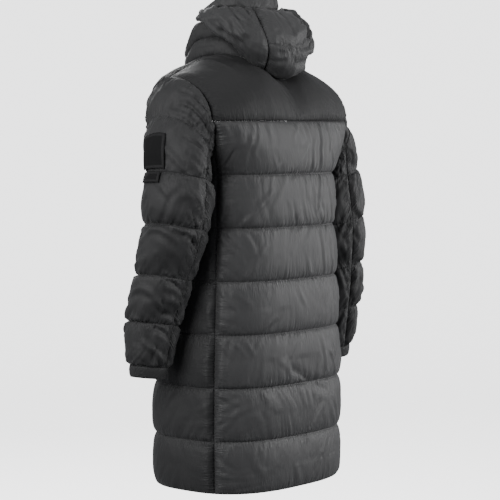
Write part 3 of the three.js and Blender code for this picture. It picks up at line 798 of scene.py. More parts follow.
@dataclass
class Yoke(Garment):
    """The plain yoke over the shoulders."""

    puff: float = 6.0
    neck_share: float = 0.5
    neck_side: float = -4.0
    back_columns: int = 128
    front_columns: int = 64
    steps: int = 40

    @staticmethod
    def curve(u: Array, v: Array, first: float, last: float, top: Array, roundness: Array) -> Array:
        """Roll the cloth from the body ring up to its top edge.

        Args:
            u, v: shares across and up.
            first, last: angles of the ring's ends.
            top: the top edge's point over each place.
            roundness: how full the roll is.
        Returns: the lining points.
        """
        z = np.full_like(u, YOKE_Z + SEAM_GAP / 2)
        base = body_point(z, mix(first, last, u))
        turn = v * math.pi / 2
        rise = mix(v, np.sin(turn), roundness)
        inward = mix(v, 1 - np.cos(turn), roundness)
        return point(
            mix(base[..., 0], top[..., 0], inward),
            mix(base[..., 1], top[..., 1], inward),
            mix(base[..., 2], top[..., 2], rise),
        )

    def back(self) -> Panel:
        """Returns: the back yoke."""
        edge = float(armhole_angle(np.array(YOKE_Z), 1)) + HALF_SEAM
        side = neck_point(np.array(self.neck_side))

        def surface(u: Array, v: Array) -> Array:
            middle = np.abs(2 * u - 1)
            sign = np.where(u < 0.5, 1, -1)
            share = np.clip(middle / self.neck_share, 0, 1)
            neck = neck_point(90 - (90 - self.neck_side) * share)
            out = np.clip((middle - self.neck_share) / (1 - self.neck_share), 0, 1)
            shoulder = mix(side, SHOULDER_TIP, out[..., None])
            top = np.where((middle <= self.neck_share)[..., None], neck, shoulder)
            top[..., 0] *= sign
            beside_neck = mix(0.6, 1.05, 1.04 * share**2 / (share + 0.04))
            roundness = np.where(middle <= self.neck_share, beside_neck, mix(1.05, 1, out))
            return self.curve(u, v, edge, 180 - edge, top, roundness)

        def puff(u: Array, v: Array) -> Array:
            rise = edge_rise(np.minimum(u, 1 - u) * 480)
            return self.puff * rise * edge_rise(np.minimum(170 * v, 70 * (1 - v)))

        return Panel(
            "yoke_back", surface, puff, self.back_columns, np.linspace(0, 1, self.steps + 1), (0.0, 1.0),
            seed=61, gathers=Gathers(0.55, 0.5, 0.8), upright=lambda v: np.clip(v * 5, 0, 1),
        )

    def front(self, mirrored: bool) -> Panel:
        """Args: True for the wearer's right. Returns: one front yoke."""
        edge = float(armhole_angle(np.array(YOKE_Z), -1)) - HALF_SEAM
        zip_edge = zip_angle(BODY_SECTIONS["half_depth"][-1])
        gap = np.array([0, -3 * SEAM_GAP, 0])
        side = neck_point(np.array(self.neck_side)) + gap
        neck_zip = -90 + degrees_for(ZIP_WIDTH / 2 + SEAM_GAP, NECK_HALF_WIDTH)

        def surface(u: Array, v: Array) -> Array:
            share = np.clip(u / 0.5, 0, 1)
            out = np.clip((u - 0.5) / 0.5, 0, 1)
            neck = neck_point(mix(neck_zip, self.neck_side, share)) + gap
            shoulder = mix(side, SHOULDER_TIP + gap, out[..., None])
            top = np.where((u <= 0.5)[..., None], neck, shoulder)
            roundness = np.where(u <= 0.5, mix(0.1, 0.6, share), mix(0.6, 1, out))
            return self.curve(u, v, zip_edge, edge, top, roundness)

        def puff(u: Array, v: Array) -> Array:
            rise = edge_rise(np.minimum(u, 1 - u) * 250)
            return self.puff * rise * edge_rise(np.minimum(150 * v, 70 * (1 - v)))

        name = "right" if mirrored else "left"
        return Panel(
            f"yoke_front_{name}", surface, puff, self.front_columns, np.linspace(0, 1, self.steps + 1),
            (0.0, 1.0), seed=73 if mirrored else 67, gathers=Gathers(0.5, 0.5, 0.7),
            upright=lambda v: np.clip(v * 5, 0, 1), mirrored=mirrored,
        )

    def panels(self) -> list[Panel]:
        """Returns: the back yoke and both front ones."""
        return [self.back(), self.front(False), self.front(True)]


@dataclass
class Sleeve(Garment):
    """One quilted sleeve of two panels, with its gathered cuff."""

    side: str
    rings: dict
    seed: int
    puff: float = 10.0
    steps: int = 24
    top_columns: int = 76
    under_columns: int = 60
    folds: Sequence[Fold] = ()

    def surface(self, first: float, last: float, turn_from: float, turn_to: float) -> Place:
        """Args: rings and turns at the ends. Returns: the lining of a panel between them."""

        def place_on(u: Array, v: Array) -> Array:
            turn, place = mix(turn_from, turn_to, u), mix(first, last, v)
            fade = np.clip(1 - place, 0, 1) ** 2
            under = (1 - cosine(turn)) / 2
            clear = mix(CLOTH * np.abs(sine(turn)), 3 * CLOTH + 1, under**2) * np.clip(1 - place, 0, 1)
            at = sleeve_point(self.rings, place, turn)
            at[..., 0] += armhole_step(turn) * fade + clear
            return at

        return place_on

    def fullness(self, place: Array, turn: Array) -> Array:
        """Args: rings passed and degrees round. Returns: how far the fill stands out."""
        inner = (1 - cosine(turn)) / 2
        start = np.where(place < 1, mix(1, 0.2, inner), 1.0)
        return self.puff * quilt(place % 1, Sag.EVEN) * mix(1, 0.3, inner**2) * start

    def panel(self, name: str, turn_from: float, turn_to: float, columns: int, seed: int) -> Panel:
        """Args: name, turns at both edges, columns and seed. Returns: one panel of the sleeve."""

        def puff(u: Array, v: Array) -> Array:
            across = np.minimum(u, 1 - u) * abs(turn_to - turn_from) * 1.3
            place = np.minimum(SLEEVE_ROWS * v, SLEEVE_ROWS - 1e-9)
            return self.fullness(place, mix(turn_from, turn_to, u)) * edge_rise(across)

        return Panel(
            f"{name}_{self.side}", self.surface(0, SLEEVE_ROWS - 0.004, turn_from, turn_to), puff,
            columns, quilt_rows(SLEEVE_ROWS, self.steps), np.arange(SLEEVE_ROWS + 1) / SLEEVE_ROWS,
            seed=seed, gathers=Gathers(1.5, 1.5, 1.2), mirrored=self.side == "right",
            folds=self.folds if name == "sleeve_top" else (), loose=0.045,
        )

    def cuff(self) -> Panel:
        """Returns: the gathered band at the wrist."""

        def surface(u: Array, v: Array) -> Array:
            return sleeve_point(self.rings, mix(SLEEVE_ROWS + 0.006, CUFF_END, v), -360 * u)

        return Panel(
            f"cuff_{self.side}", surface, lambda u, v: 1.5 * quilt(v, Sag.EVEN), 112,
            np.linspace(0, 1, 13), (0.0, 1.0), seed=self.seed + 6, gathers=Gathers(0.25, 0, 0.2),
            around=True, mirrored=self.side == "right",
        )

    def panels(self) -> list[Panel]:
        """Returns: the top panel, the under panel and the cuff."""
        near, far = SLEEVE_SEAM - 0.12, SLEEVE_SEAM + 0.12
        return [
            self.panel("sleeve_top", near, -near, self.top_columns, self.seed),
            self.panel("sleeve_under", 360 - far, far, self.under_columns, self.seed + 3),
            self.cuff(),
        ]


@dataclass
class Collar(Garment):
    """The stand collar of two quilted rows, open at the zip."""

    puff: float = 9.0
    tuck: float = 6.0
    rows: int = 2
    columns: int = 160
    steps: int = 22

    def panels(self) -> list[Panel]:
        """Returns: the collar."""
        start = -90 + degrees_for(ZIP_WIDTH / 2 + SEAM_GAP, NECK_HALF_WIDTH)

        def surface(u: Array, v: Array) -> Array:
            at = collar_point(mix(start, 180 - start, u), v)
            at[..., 2] -= self.tuck * (1 - v)
            return at

        def puff(u: Array, v: Array) -> Array:
            rise = edge_rise(np.minimum(u, 1 - u) * 600)
            return self.puff * rise * quilt((v * self.rows) % 1, Sag.EVEN)

        return [Panel(
            "collar", surface, puff, self.columns, quilt_rows(self.rows, self.steps),
            np.arange(self.rows + 1) / self.rows, seed=83, gathers=Gathers(0.55, 0.4, 0.5),
            upright=lambda v: 0.0,
        )]


@dataclass
class Hood(Garment):
    """The hood, folded down behind the neck: two sides, a centre and the rim turned in."""

    puff: float = 10.0
    steps: int = 34
    gap: float = degrees_for(SEAM_GAP, 120)

    @staticmethod
    def seam(place: Array) -> Array:
        """Args: place along the profile. Returns: the angle of the seam beside the centre."""
        return mix(HOOD_SEAM_BOTTOM, HOOD_SEAM_CREASE, np.minimum(1, place / CREASE))

    def panel(
        self, name: str, edges: tuple[Place, Place], places: tuple[float, float], columns: int,
        rows: Array, seams: Sequence[float], height: float, lines: int, seed: int,
        mirrored: bool = False, folds: Sequence[Fold] = (), gathers: Gathers = Gathers(0.6, 2.4, 1.0, 0.15),
    ) -> Panel:
        """Make one panel of the hood.

        Args:
            name: node that it dresses.
            edges: angles of its two side edges at a place.
            places: first and last place along the profile.
            columns, rows: its grid.
            seams: shares along at which it is sewn.
            height: fullness of its fill.
            lines: quilted rows.
            seed: picks its creases.
            mirrored: True for the wearer's right.
            folds: listed folds.
            gathers: how loose its cloth is.
        Returns: the panel.
        """

        def at(u: Array, v: Array) -> tuple[Array, Array]:
            along = mix(places[0], places[1], v)
            return along, mix(edges[0](along), edges[1](along), u)

        def surface(u: Array, v: Array) -> Array:
            along, angle = at(u, v)
            return hood_point(angle, along)

        def puff(u: Array, v: Array) -> Array:
            along, angle = at(u, v)
            across = np.minimum(u, 1 - u) * np.abs(edges[1](along) - edges[0](along)) * 2.2
            corners = smooth((np.minimum(angle, 180 - angle) - HOOD_ANGLES[0]) / 50)
            return height * quilt((v * lines) % 1, Sag.EVEN) * edge_rise(across) * corners

        return Panel(
            name, surface, puff, columns, rows, seams, seed=seed, gathers=gathers, mirrored=mirrored,
            folds=folds, loose=0.03,
        )

    def panels(self) -> list[Panel]:
        """Returns: both sides, the centre and the rim."""
        start = HOOD_ANGLES[0]
        bag = (0.0, CREASE - 0.005)
        rows = quilt_rows(2, self.steps)
        side = (lambda place: start + 0 * place, lambda place: self.seam(place) - self.gap)
        centre = (lambda place: self.seam(place) + self.gap, lambda place: 180 - self.seam(place) - self.gap)
        rim = (lambda place: start + 0 * place, lambda place: 180 - start + 0 * place)
        made = [
            self.panel(
                f"hood_side_{name}", side, bag, 72, rows, (0.0, 1.0), self.puff, 1,
                seed=97 + 6 * number, mirrored=name == "right", folds=HOOD_FOLDS,
            )
            for number, name in enumerate(("left", "right"))
        ]
        made.append(self.panel(
            "hood_centre", centre, bag, 52, rows, (0.0, 0.5, 1.0), self.puff, 2, seed=113,
            folds=CENTRE_FOLDS,
        ))
        made.append(self.panel(
            "hood_rim", rim, (CREASE - 0.03, 5.0), 176, np.linspace(0, 1, 21), (0.0, 1.0),
            0.6 * self.puff, 1, seed=127, gathers=Gathers(0.5, 0.3, 0.5),
        ))
        return made


@dataclass(frozen=True)
class ClothFinish:
    """A woven shell cloth: its colour, gloss and how hard its small creases show."""

    name: str
    colour: tuple[float, float, float]
    roughness: float
    crease: float = 1.0
    sheen: float = 0.05
    weave: float = 0.35
    gloss: float = 0.3


@dataclass(frozen=True)
class TrimFinish:
    """A plain hard or woven trim."""

    name: str
    colour: tuple[float, float, float]
    roughness: float
    metallic: float = 0.0
    grain: float = 220.0
    worn: float = 0.15
    gloss: float = 0.5


class ShaderGroups:
    """The effects that several finishes share, each built once."""

    def __init__(self) -> None:
        """Build the groups."""
        self.creases = self.build_creases()
        self.weave = self.build_weave()
        self.fade = self.build_fade()

    @staticmethod
    def start(name: str, inputs: Sequence[tuple[str, str, float]], outputs: Sequence[tuple[str, str]]):
        """Begin a group.

        Args:
            name: the group's name.
            inputs: name, socket type and value of each input.
            outputs: name and socket type of each output.
        Returns: the tree, its input node and its output node.
        """
        tree = bpy.data.node_groups.new(name, "ShaderNodeTree")
        for label, kind, value in inputs:
            socket = tree.interface.new_socket(label, in_out="INPUT", socket_type=kind)
            if kind == "NodeSocketFloat":
                socket.default_value = value
        for label, kind in outputs:
            tree.interface.new_socket(label, in_out="OUTPUT", socket_type=kind)
        return tree, tree.nodes.new("NodeGroupInput"), tree.nodes.new("NodeGroupOutput")

    @staticmethod
    def math(tree, kind: str, first, second) -> bpy.types.NodeSocket:
        """Args: tree, operation, two sockets or numbers. Returns: the socket of the result."""
        node = tree.nodes.new("ShaderNodeMath")
        node.operation = kind
        for slot, value in enumerate((first, second)):
            if isinstance(value, (int, float)):
                node.inputs[slot].default_value = value
            else:
                tree.links.new(value, node.inputs[slot])
        return node.outputs[0]

    def noise(self, tree, vector, scale: float, detail: float, rough: float = 0.55):
        """Args: tree, place, scale, detail and roughness. Returns: the noise's value socket."""
        node = tree.nodes.new("ShaderNodeTexNoise")
        node.inputs["Scale"].default_value = scale
        node.inputs["Detail"].default_value = detail
        node.inputs["Roughness"].default_value = rough
        tree.links.new(vector, node.inputs["Vector"])
        return node.outputs["Fac"]

    def build_creases(self) -> bpy.types.NodeTree:
        """Returns: small sharp creases, square to the sewn lines they start from, as a height."""
        tree, given, out = self.start(
            "small creases",
            [
                ("Place", "NodeSocketVector", 0), ("Cloth", "NodeSocketVector", 0),
                ("Sewn", "NodeSocketFloat", 0), ("Side", "NodeSocketFloat", 0),
                ("Strength", "NodeSocketFloat", 1),
            ],
            [("Height", "NodeSocketFloat")],
        )
        place, cloth = given.outputs["Place"], given.outputs["Cloth"]
        one = tree.nodes.new("ShaderNodeValue")
        one.outputs[0].default_value = 0.4
        total = None
        for source, near, stretch, turn, weight in (
            (cloth, given.outputs["Sewn"], (120, 26, 1), 0.0, 0.0100),
            (cloth, given.outputs["Side"], (26, 120, 1), 0.0, 0.0100),
            (cloth, one.outputs[0], (70, 18, 1), 0.6, 0.0026),
            (place, one.outputs[0], (42, 42, 20), 0.4, 0.0030),
        ):
            spread = tree.nodes.new("ShaderNodeMapping")
            spread.inputs["Scale"].default_value = stretch
            spread.inputs["Rotation"].default_value = (0, 0, turn)
            tree.links.new(source, spread.inputs["Vector"])
            value = self.noise(tree, spread.outputs[0], 1.0, 2.0)
            ridge = self.math(tree, "ABSOLUTE", self.math(tree, "SUBTRACT", value, 0.5), 0)
            part = self.math(tree, "MULTIPLY", self.math(tree, "MULTIPLY", ridge, weight), near)
            total = part if total is None else self.math(tree, "ADD", total, part)
        total = self.math(tree, "MULTIPLY", total, given.outputs["Strength"])
        tree.links.new(total, out.inputs["Height"])
        return tree

    def build_weave(self) -> bpy.types.NodeTree:
        """Returns: the crossing threads of the cloth as a height and a mask."""
        tree, given, out = self.start(
            "fine weave",
            [
                ("Cloth", "NodeSocketVector", 0), ("Threads", "NodeSocketFloat", 900),
                ("Strength", "NodeSocketFloat", 1),
            ],
            [("Height", "NodeSocketFloat"), ("Mask", "NodeSocketFloat")],
        )
        waves = []
        for direction in ("X", "Y"):
            wave = tree.nodes.new("ShaderNodeTexWave")
            wave.wave_type, wave.bands_direction = "BANDS", direction
            wave.inputs["Distortion"].default_value = 0.6
            wave.inputs["Detail"].default_value = 1.0
            tree.links.new(given.outputs["Cloth"], wave.inputs["Vector"])
            tree.links.new(given.outputs["Threads"], wave.inputs["Scale"])
            waves.append(wave.outputs["Fac"])
        mask = self.math(tree, "MULTIPLY", waves[0], waves[1])
        height = self.math(tree, "MULTIPLY", mask, 0.00012)
        height = self.math(tree, "MULTIPLY", height, given.outputs["Strength"])
        tree.links.new(height, out.inputs["Height"])
        tree.links.new(mask, out.inputs["Mask"])
        return tree

    def build_fade(self) -> bpy.types.NodeTree:
        """Returns: the uneven dye of the cloth, lighter on its worn sewn ridges."""
        tree, given, out = self.start(
            "uneven dye",
            [
                ("Place", "NodeSocketVector", 0), ("Sewn", "NodeSocketFloat", 0),
                ("Colour", "NodeSocketColor", 0), ("Worn", "NodeSocketFloat", 0.2),
            ],
            [("Colour", "NodeSocketColor"), ("Mask", "NodeSocketFloat")],
        )
        place = given.outputs["Place"]
        broad = self.noise(tree, place, 7, 2.0)
        fine = self.noise(tree, place, 140, 4.0, 0.7)
        most = self.math(tree, "MULTIPLY", broad, 0.6)
        blend = self.math(tree, "ADD", most, self.math(tree, "MULTIPLY", fine, 0.4))
        level = self.math(tree, "ADD", self.math(tree, "MULTIPLY", blend, 0.5), 0.75)
        edge = self.math(tree, "MULTIPLY", given.outputs["Sewn"], given.outputs["Worn"])
        level = self.math(tree, "ADD", level, self.math(tree, "MULTIPLY", edge, fine))
        scale = tree.nodes.new("ShaderNodeVectorMath")
        scale.operation = "SCALE"
        tree.links.new(given.outputs["Colour"], scale.inputs[0])
        tree.links.new(level, scale.inputs["Scale"])
        tree.links.new(scale.outputs[0], out.inputs["Colour"])
        tree.links.new(blend, out.inputs["Mask"])
        return tree


class Finishes:
    """The coat's materials, by name."""

    def __init__(self) -> None:
        """Build the shared groups and every finish."""
        self.groups = ShaderGroups()
        cloths = {
            "shell": ClothFinish("shell_cloth", (0.0200, 0.0200, 0.0205), 0.60, gloss=0.20),
            # The yoke's cloth is the shell cloth painted darker: painted shade that offsets the lamp light
            # its upturned face catches.
            "yoke_shell_painted_shade": ClothFinish("yoke_cloth", (0.0150, 0.0150, 0.0154), 0.62, gloss=0.15),
            # The hood's cloth is the shell cloth painted lighter: painted light where the lamps leave it
            # dim.
            "hood_shell_painted_light": ClothFinish("hood_cloth", (0.0270, 0.0270, 0.0276), 0.58, gloss=0.24),
            "back_shell": ClothFinish("back_cloth", (0.0305, 0.0305, 0.0312), 0.52, gloss=0.22),
            "cuff_band": ClothFinish(
                "cuff_cloth", (0.0190, 0.0190, 0.0195), 0.62, crease=0.6, gloss=0.18,
            ),
        }
        trims = {
            "badge": TrimFinish("badge_twill", (0.0045, 0.0045, 0.0048), 0.8, grain=700, gloss=0.12),
            "badge_edge": TrimFinish("badge_border", (0.009, 0.009, 0.0094), 0.7, grain=900, gloss=0.15),
            "zip_tape": TrimFinish("zip_plastic", (0.014, 0.014, 0.015), 0.4),
            "zip_metal": TrimFinish("zip_metal", (0.06, 0.06, 0.063), 0.32, metallic=1.0),
            "thread": TrimFinish("sewing_thread", (0.010, 0.010, 0.0105), 0.6, grain=1500),
        }
        self.by_name = {name: self.cloth(finish) for name, finish in cloths.items()}
        self.by_name.update({name: self.trim(finish) for name, finish in trims.items()})

    @staticmethod
    def blank(name: str) -> tuple[bpy.types.Material, bpy.types.Node]:
        """Args: the material's name. Returns: the material and its shader."""
        material = bpy.data.materials.new(name)
        material.use_nodes = True
        return material, material.node_tree.nodes["Principled BSDF"]

    @staticmethod
    def span(tree, value, low: float, high: float) -> bpy.types.NodeSocket:
        """Args: tree, a 0 to 1 value, both ends. Returns: the value spread between them."""
        node = tree.nodes.new("ShaderNodeMapRange")
        node.inputs["To Min"].default_value = low
        node.inputs["To Max"].default_value = high
        tree.links.new(value, node.inputs["Value"])
        return node.outputs["Result"]

    def grouped(self, tree, group, links: dict, values: dict) -> bpy.types.Node:
        """Args: tree, group, its linked and its plain inputs. Returns: the group's node."""
        node = tree.nodes.new("ShaderNodeGroup")
        node.node_tree = group
        for label, socket in links.items():
            tree.links.new(socket, node.inputs[label])
        for label, value in values.items():
            node.inputs[label].default_value = value
        return node

    def cloth(self, finish: ClothFinish) -> bpy.types.Material:
        """Args: the cloth's sizes. Returns: its material."""
        material, shader = self.blank(finish.name)
        tree = material.node_tree
        place = tree.nodes.new("ShaderNodeTexCoord").outputs["Object"]
        flat = tree.nodes.new("ShaderNodeUVMap")
        flat.uv_map = "cloth"
        near, side = (tree.nodes.new("ShaderNodeAttribute") for _ in range(2))
        near.attribute_name, side.attribute_name = "sewn", "side"
        sewn = near.outputs["Fac"]
        dye = self.grouped(tree, self.groups.fade, {"Place": place, "Sewn": sewn},
                           {"Colour": (*finish.colour, 1), "Worn": 0.22})
        crease = self.grouped(
            tree, self.groups.creases,
            {"Place": place, "Cloth": flat.outputs[0], "Sewn": sewn, "Side": side.outputs["Fac"]},
            {"Strength": finish.crease},
        )
        weave = self.grouped(tree, self.groups.weave, {"Cloth": flat.outputs[0]},
                             {"Threads": 260.0, "Strength": finish.weave})
        height = ShaderGroups.math(tree, "ADD", crease.outputs["Height"], weave.outputs["Height"])
        bump = tree.nodes.new("ShaderNodeBump")
        bump.inputs["Strength"].default_value = 0.9
        bump.inputs["Distance"].default_value = 1.0
        tree.links.new(height, bump.inputs["Height"])
        tree.links.new(bump.outputs[0], shader.inputs["Normal"])
        tree.links.new(dye.outputs["Colour"], shader.inputs["Base Color"])
        rough = self.span(tree, dye.outputs["Mask"], finish.roughness - 0.06, finish.roughness + 0.08)
        tree.links.new(rough, shader.inputs["Roughness"])
        shader.inputs["Sheen Weight"].default_value = finish.sheen
        shader.inputs["Sheen Roughness"].default_value = 0.4
        shader.inputs["Specular IOR Level"].default_value = finish.gloss
        return material

    def trim(self, finish: TrimFinish) -> bpy.types.Material:
        """Args: the trim's sizes. Returns: its material."""
        material, shader = self.blank(finish.name)
        tree = material.node_tree
        place = tree.nodes.new("ShaderNodeTexCoord").outputs["Object"]
        grain = tree.nodes.new("ShaderNodeTexNoise")
        grain.inputs["Scale"].default_value = finish.grain
        grain.inputs["Detail"].default_value = 3.0
        tree.links.new(place, grain.inputs["Vector"])
        dye = self.grouped(tree, self.groups.fade, {"Place": place, "Sewn": grain.outputs["Fac"]},
                           {"Colour": (*finish.colour, 1), "Worn": finish.worn})
        tree.links.new(dye.outputs["Colour"], shader.inputs["Base Color"])
        rough = self.span(tree, dye.outputs["Mask"], finish.roughness - 0.08, finish.roughness + 0.1)
        tree.links.new(rough, shader.inputs["Roughness"])
        shader.inputs["Metallic"].default_value = finish.metallic
        shader.inputs["Specular IOR Level"].default_value = finish.gloss
        bump = tree.nodes.new("ShaderNodeBump")
        bump.inputs["Strength"].default_value = 0.4
        bump.inputs["Distance"].default_value = 0.0003
        tree.links.new(grain.outputs["Fac"], bump.inputs["Height"])
        tree.links.new(bump.outputs[0], shader.inputs["Normal"])
        return material


class Repeats:
    """Geometry Nodes that lay one small shape along lines again and again."""

    def __init__(self, name: str, corners: int) -> None:
        """Build the tree. Args: its name, and how many sides the small bar has."""
        tree = bpy.data.node_groups.new(name, "GeometryNodeTree")
        tree.interface.new_socket("Lines", in_out="INPUT", socket_type="NodeSocketGeometry")
        self.ids = {}
        for label, value in (("Pitch", 0.0045), ("Length", 0.003), ("Thickness", 0.0009)):
            socket = tree.interface.new_socket(label, in_out="INPUT", socket_type="NodeSocketFloat")
            socket.default_value = value
            self.ids[label] = socket.identifier
        socket = tree.interface.new_socket("Finish", in_out="INPUT", socket_type="NodeSocketMaterial")
        self.ids["Finish"] = socket.identifier
        tree.interface.new_socket("Mesh", in_out="OUTPUT", socket_type="NodeSocketGeometry")
        new, link = tree.nodes.new, tree.links.new
        given, out = new("NodeGroupInput"), new("NodeGroupOutput")
        curve = new("GeometryNodeMeshToCurve")
        spread = new("GeometryNodeCurveToPoints")
        spread.mode = "LENGTH"
        bar = new("GeometryNodeMeshCylinder")
        bar.inputs["Vertices"].default_value = corners
        half = new("ShaderNodeMath")
        half.operation = "MULTIPLY"
        half.inputs[1].default_value = 0.5
        turn = new("FunctionNodeAlignRotationToVector")
        turn.axis = "Z"
        place = new("GeometryNodeInstanceOnPoints")
        real, dress = new("GeometryNodeRealizeInstances"), new("GeometryNodeSetMaterial")
        link(given.outputs["Lines"], curve.inputs["Mesh"])
        link(curve.outputs[0], spread.inputs["Curve"])
        link(given.outputs["Pitch"], spread.inputs["Length"])
        link(given.outputs["Thickness"], half.inputs[0])
        link(half.outputs[0], bar.inputs["Radius"])
        link(given.outputs["Length"], bar.inputs["Depth"])
        link(spread.outputs["Tangent"], turn.inputs["Vector"])
        link(spread.outputs["Points"], place.inputs["Points"])
        link(bar.outputs["Mesh"], place.inputs["Instance"])
        link(turn.outputs["Rotation"], place.inputs["Rotation"])
        link(place.outputs["Instances"], real.inputs["Geometry"])
        link(real.outputs[0], dress.inputs["Geometry"])
        link(given.outputs["Finish"], dress.inputs["Material"])
        link(dress.outputs[0], out.inputs["Mesh"])
        self.tree = tree

    def along(
        self, name: str, lines: Sequence[Array], pitch: float, length: float, thick: float,
        finish: bpy.types.Material,
    ) -> bpy.types.Object:
        """Lay the bars.

        Args:
            name: of the piece.
            lines: points of each line, in millimetres.
            pitch, length, thick: sizes of the bars in millimetres.
            finish: their material.
        Returns: one plain mesh object.
        """
        points, edges = [], []
        for line in lines:
            start = len(points)
            points += (np.asarray(line) * MM).tolist()
            edges += [(start + i, start + i + 1) for i in range(len(line) - 1)]
        guide = bpy.data.meshes.new(f"{name}_lines")
        guide.from_pydata(points, edges, [])
        carrier = placed(f"{name}_lines", guide)
        layer = carrier.modifiers.new("repeat", "NODES")
        layer.node_group = self.tree
        for label, value in (("Pitch", pitch), ("Length", length), ("Thickness", thick)):
            layer[self.ids[label]] = value * MM
        layer[self.ids["Finish"]] = finish
        ready = carrier.evaluated_get(bpy.context.evaluated_depsgraph_get())
        mesh = bpy.data.meshes.new_from_object(ready)
        carrier.modifiers.remove(layer)
        bpy.data.objects.remove(carrier)
        mesh.name = name
        if not mesh.materials:
            mesh.materials.append(finish)
        return placed(name, mesh)


@dataclass(frozen=True)
class Badge:
    """A bare woven badge on the outside of the left sleeve."""

    name: str
    width: float
    first: float
    last: float
    turn: float
    thick: float = 1.4
    border: int = 2
    columns: int = 40
    rows: int = 36

    def mesh(self, sleeve: Panel, finishes: dict) -> tuple[bpy.types.Mesh, tuple[float, float], Array]:
        """Lay the badge over the sleeve's shell.

        Args:
            sleeve: the panel that carries it.
            finishes: materials by name.
        Returns: its mesh, its flat size in metres and its edge line in millimetres.
        """
        half = degrees_for(self.width / 2, 78)
        u, v = np.meshgrid(np.linspace(0, 1, self.columns + 1), np.linspace(0, 1, self.rows + 1))
        turn = mix(self.turn + half, self.turn - half, u)
        share_u = (SLEEVE_SEAM - turn) / (2 * SLEEVE_SEAM)
        share_v = mix(self.first, self.last, v) / SLEEVE_ROWS
        lift = np.einsum("ijk,ijk->ij", sleeve.outer - sleeve.base, sleeve.normal)
        stiff = self.swept(self.swept(lift, 2, np.max), 2)
        place = sleeve.base + sleeve.normal * stiff[..., None]
        column = share_u * (place.shape[1] - 1)
        row = np.interp(share_v, sleeve.rows, np.arange(len(sleeve.rows)))
        under = self.sample(place, row, column)
        normal = self.sample(sleeve.normal, row, column)
        normal /= np.linalg.norm(normal, axis=-1, keepdims=True)
        edge = np.minimum(np.minimum(u, 1 - u) * self.columns, np.minimum(v, 1 - v) * self.rows)
        rim = 0.5 * smooth(edge / 0.8) * (1 - smooth((edge - self.border) / 0.9))
        under = under + normal * 1.2
        top = under + normal * (self.thick - 0.5 + rim)[..., None]
        rows, columns = u.shape
        index = np.arange(rows * columns).reshape(rows, columns)
        faces = Panel.quads(index).tolist() + (Panel.quads(index)[:, ::-1] + rows * columns).tolist()
        ring = np.concatenate([index[0, :-1], index[:-1, -1], index[-1, :0:-1], index[:0:-1, 0]])
        nxt = np.roll(ring, -1)
        low = rows * columns
        faces += np.stack([nxt, ring, ring + low, nxt + low], -1).tolist()
        mesh = bpy.data.meshes.new(self.name)
        points = np.vstack([top.reshape(-1, 3), under.reshape(-1, 3)]) * MM
        mesh.from_pydata(points, [], faces)
        mesh.polygons.foreach_set("use_smooth", np.ones(len(mesh.polygons), bool))
        mesh.materials.append(finishes["badge"])
        mesh.materials.append(finishes["badge_edge"])
        middle = (edge[:-1, :-1] + edge[1:, 1:]) / 2
        border = (middle < self.border + 0.6).ravel()
        count = (rows - 1) * (columns - 1)
        flags = np.zeros(len(faces), int)
        flags[:count] = border
        flags[2 * count:] = 1
        mesh.polygons.foreach_set("material_index", flags)
        mesh.update()
        width = float(np.linalg.norm(np.diff(top[rows // 2], axis=0), axis=-1).sum())
        length = float(np.linalg.norm(np.diff(top[:, columns // 2], axis=0), axis=-1).sum())
        line = top.reshape(-1, 3)[np.append(ring, ring[0])]
        return mesh, (width * MM, length * MM), line

    @staticmethod
    def swept(values: Array, reach: int, pick: Callable = np.mean) -> Array:
        """Args: a grid, how far to look and what to take there. Returns: the new grid."""
        soft = values
        for axis in (0, 1):
            pad = [(0, 0), (0, 0)]
            pad[axis] = (reach, reach)
            wide = np.pad(soft, pad, mode="edge")
            pieces = [np.take(wide, range(k, k + soft.shape[axis]), axis=axis) for k in range(2 * reach + 1)]
            soft = pick(pieces, axis=0)
        return soft

    @staticmethod
    def sample(grid: Array, row: Array, column: Array) -> Array:
        """Args: a grid of points and places in it. Returns: the points between."""
        r = np.clip(np.floor(row).astype(int), 0, grid.shape[0] - 2)
        c = np.clip(np.floor(column).astype(int), 0, grid.shape[1] - 2)
        fr, fc = (row - r)[..., None], (column - c)[..., None]
        upper = mix(grid[r, c], grid[r, c + 1], fc)
        return mix(upper, mix(grid[r + 1, c], grid[r + 1, c + 1], fc), fr)


def front_line(z: Array) -> Array:
    """Args: heights. Returns: y of the lining where the fronts meet."""
    neck = NECK_HEIGHTS["z"][0]
    level = np.array(YOKE_Z)
    front = np.array(-90.0)
    low = body_point(np.minimum(z, YOKE_Z), np.full_like(z, -90.0))[..., 1]
    share = np.clip((z - YOKE_Z) / (neck - YOKE_Z), 0, 1)
    middle = mix(body_point(level, front)[1], neck_point(front)[1], share)
    rise = np.clip((z - neck) / (COLLAR_TOPS["z"][0] - neck), 0, 1)
    high = collar_point(np.full_like(z, -90.0), rise)[..., 1]
    return np.where(z <= YOKE_Z, low, np.where(z <= neck, middle, high))


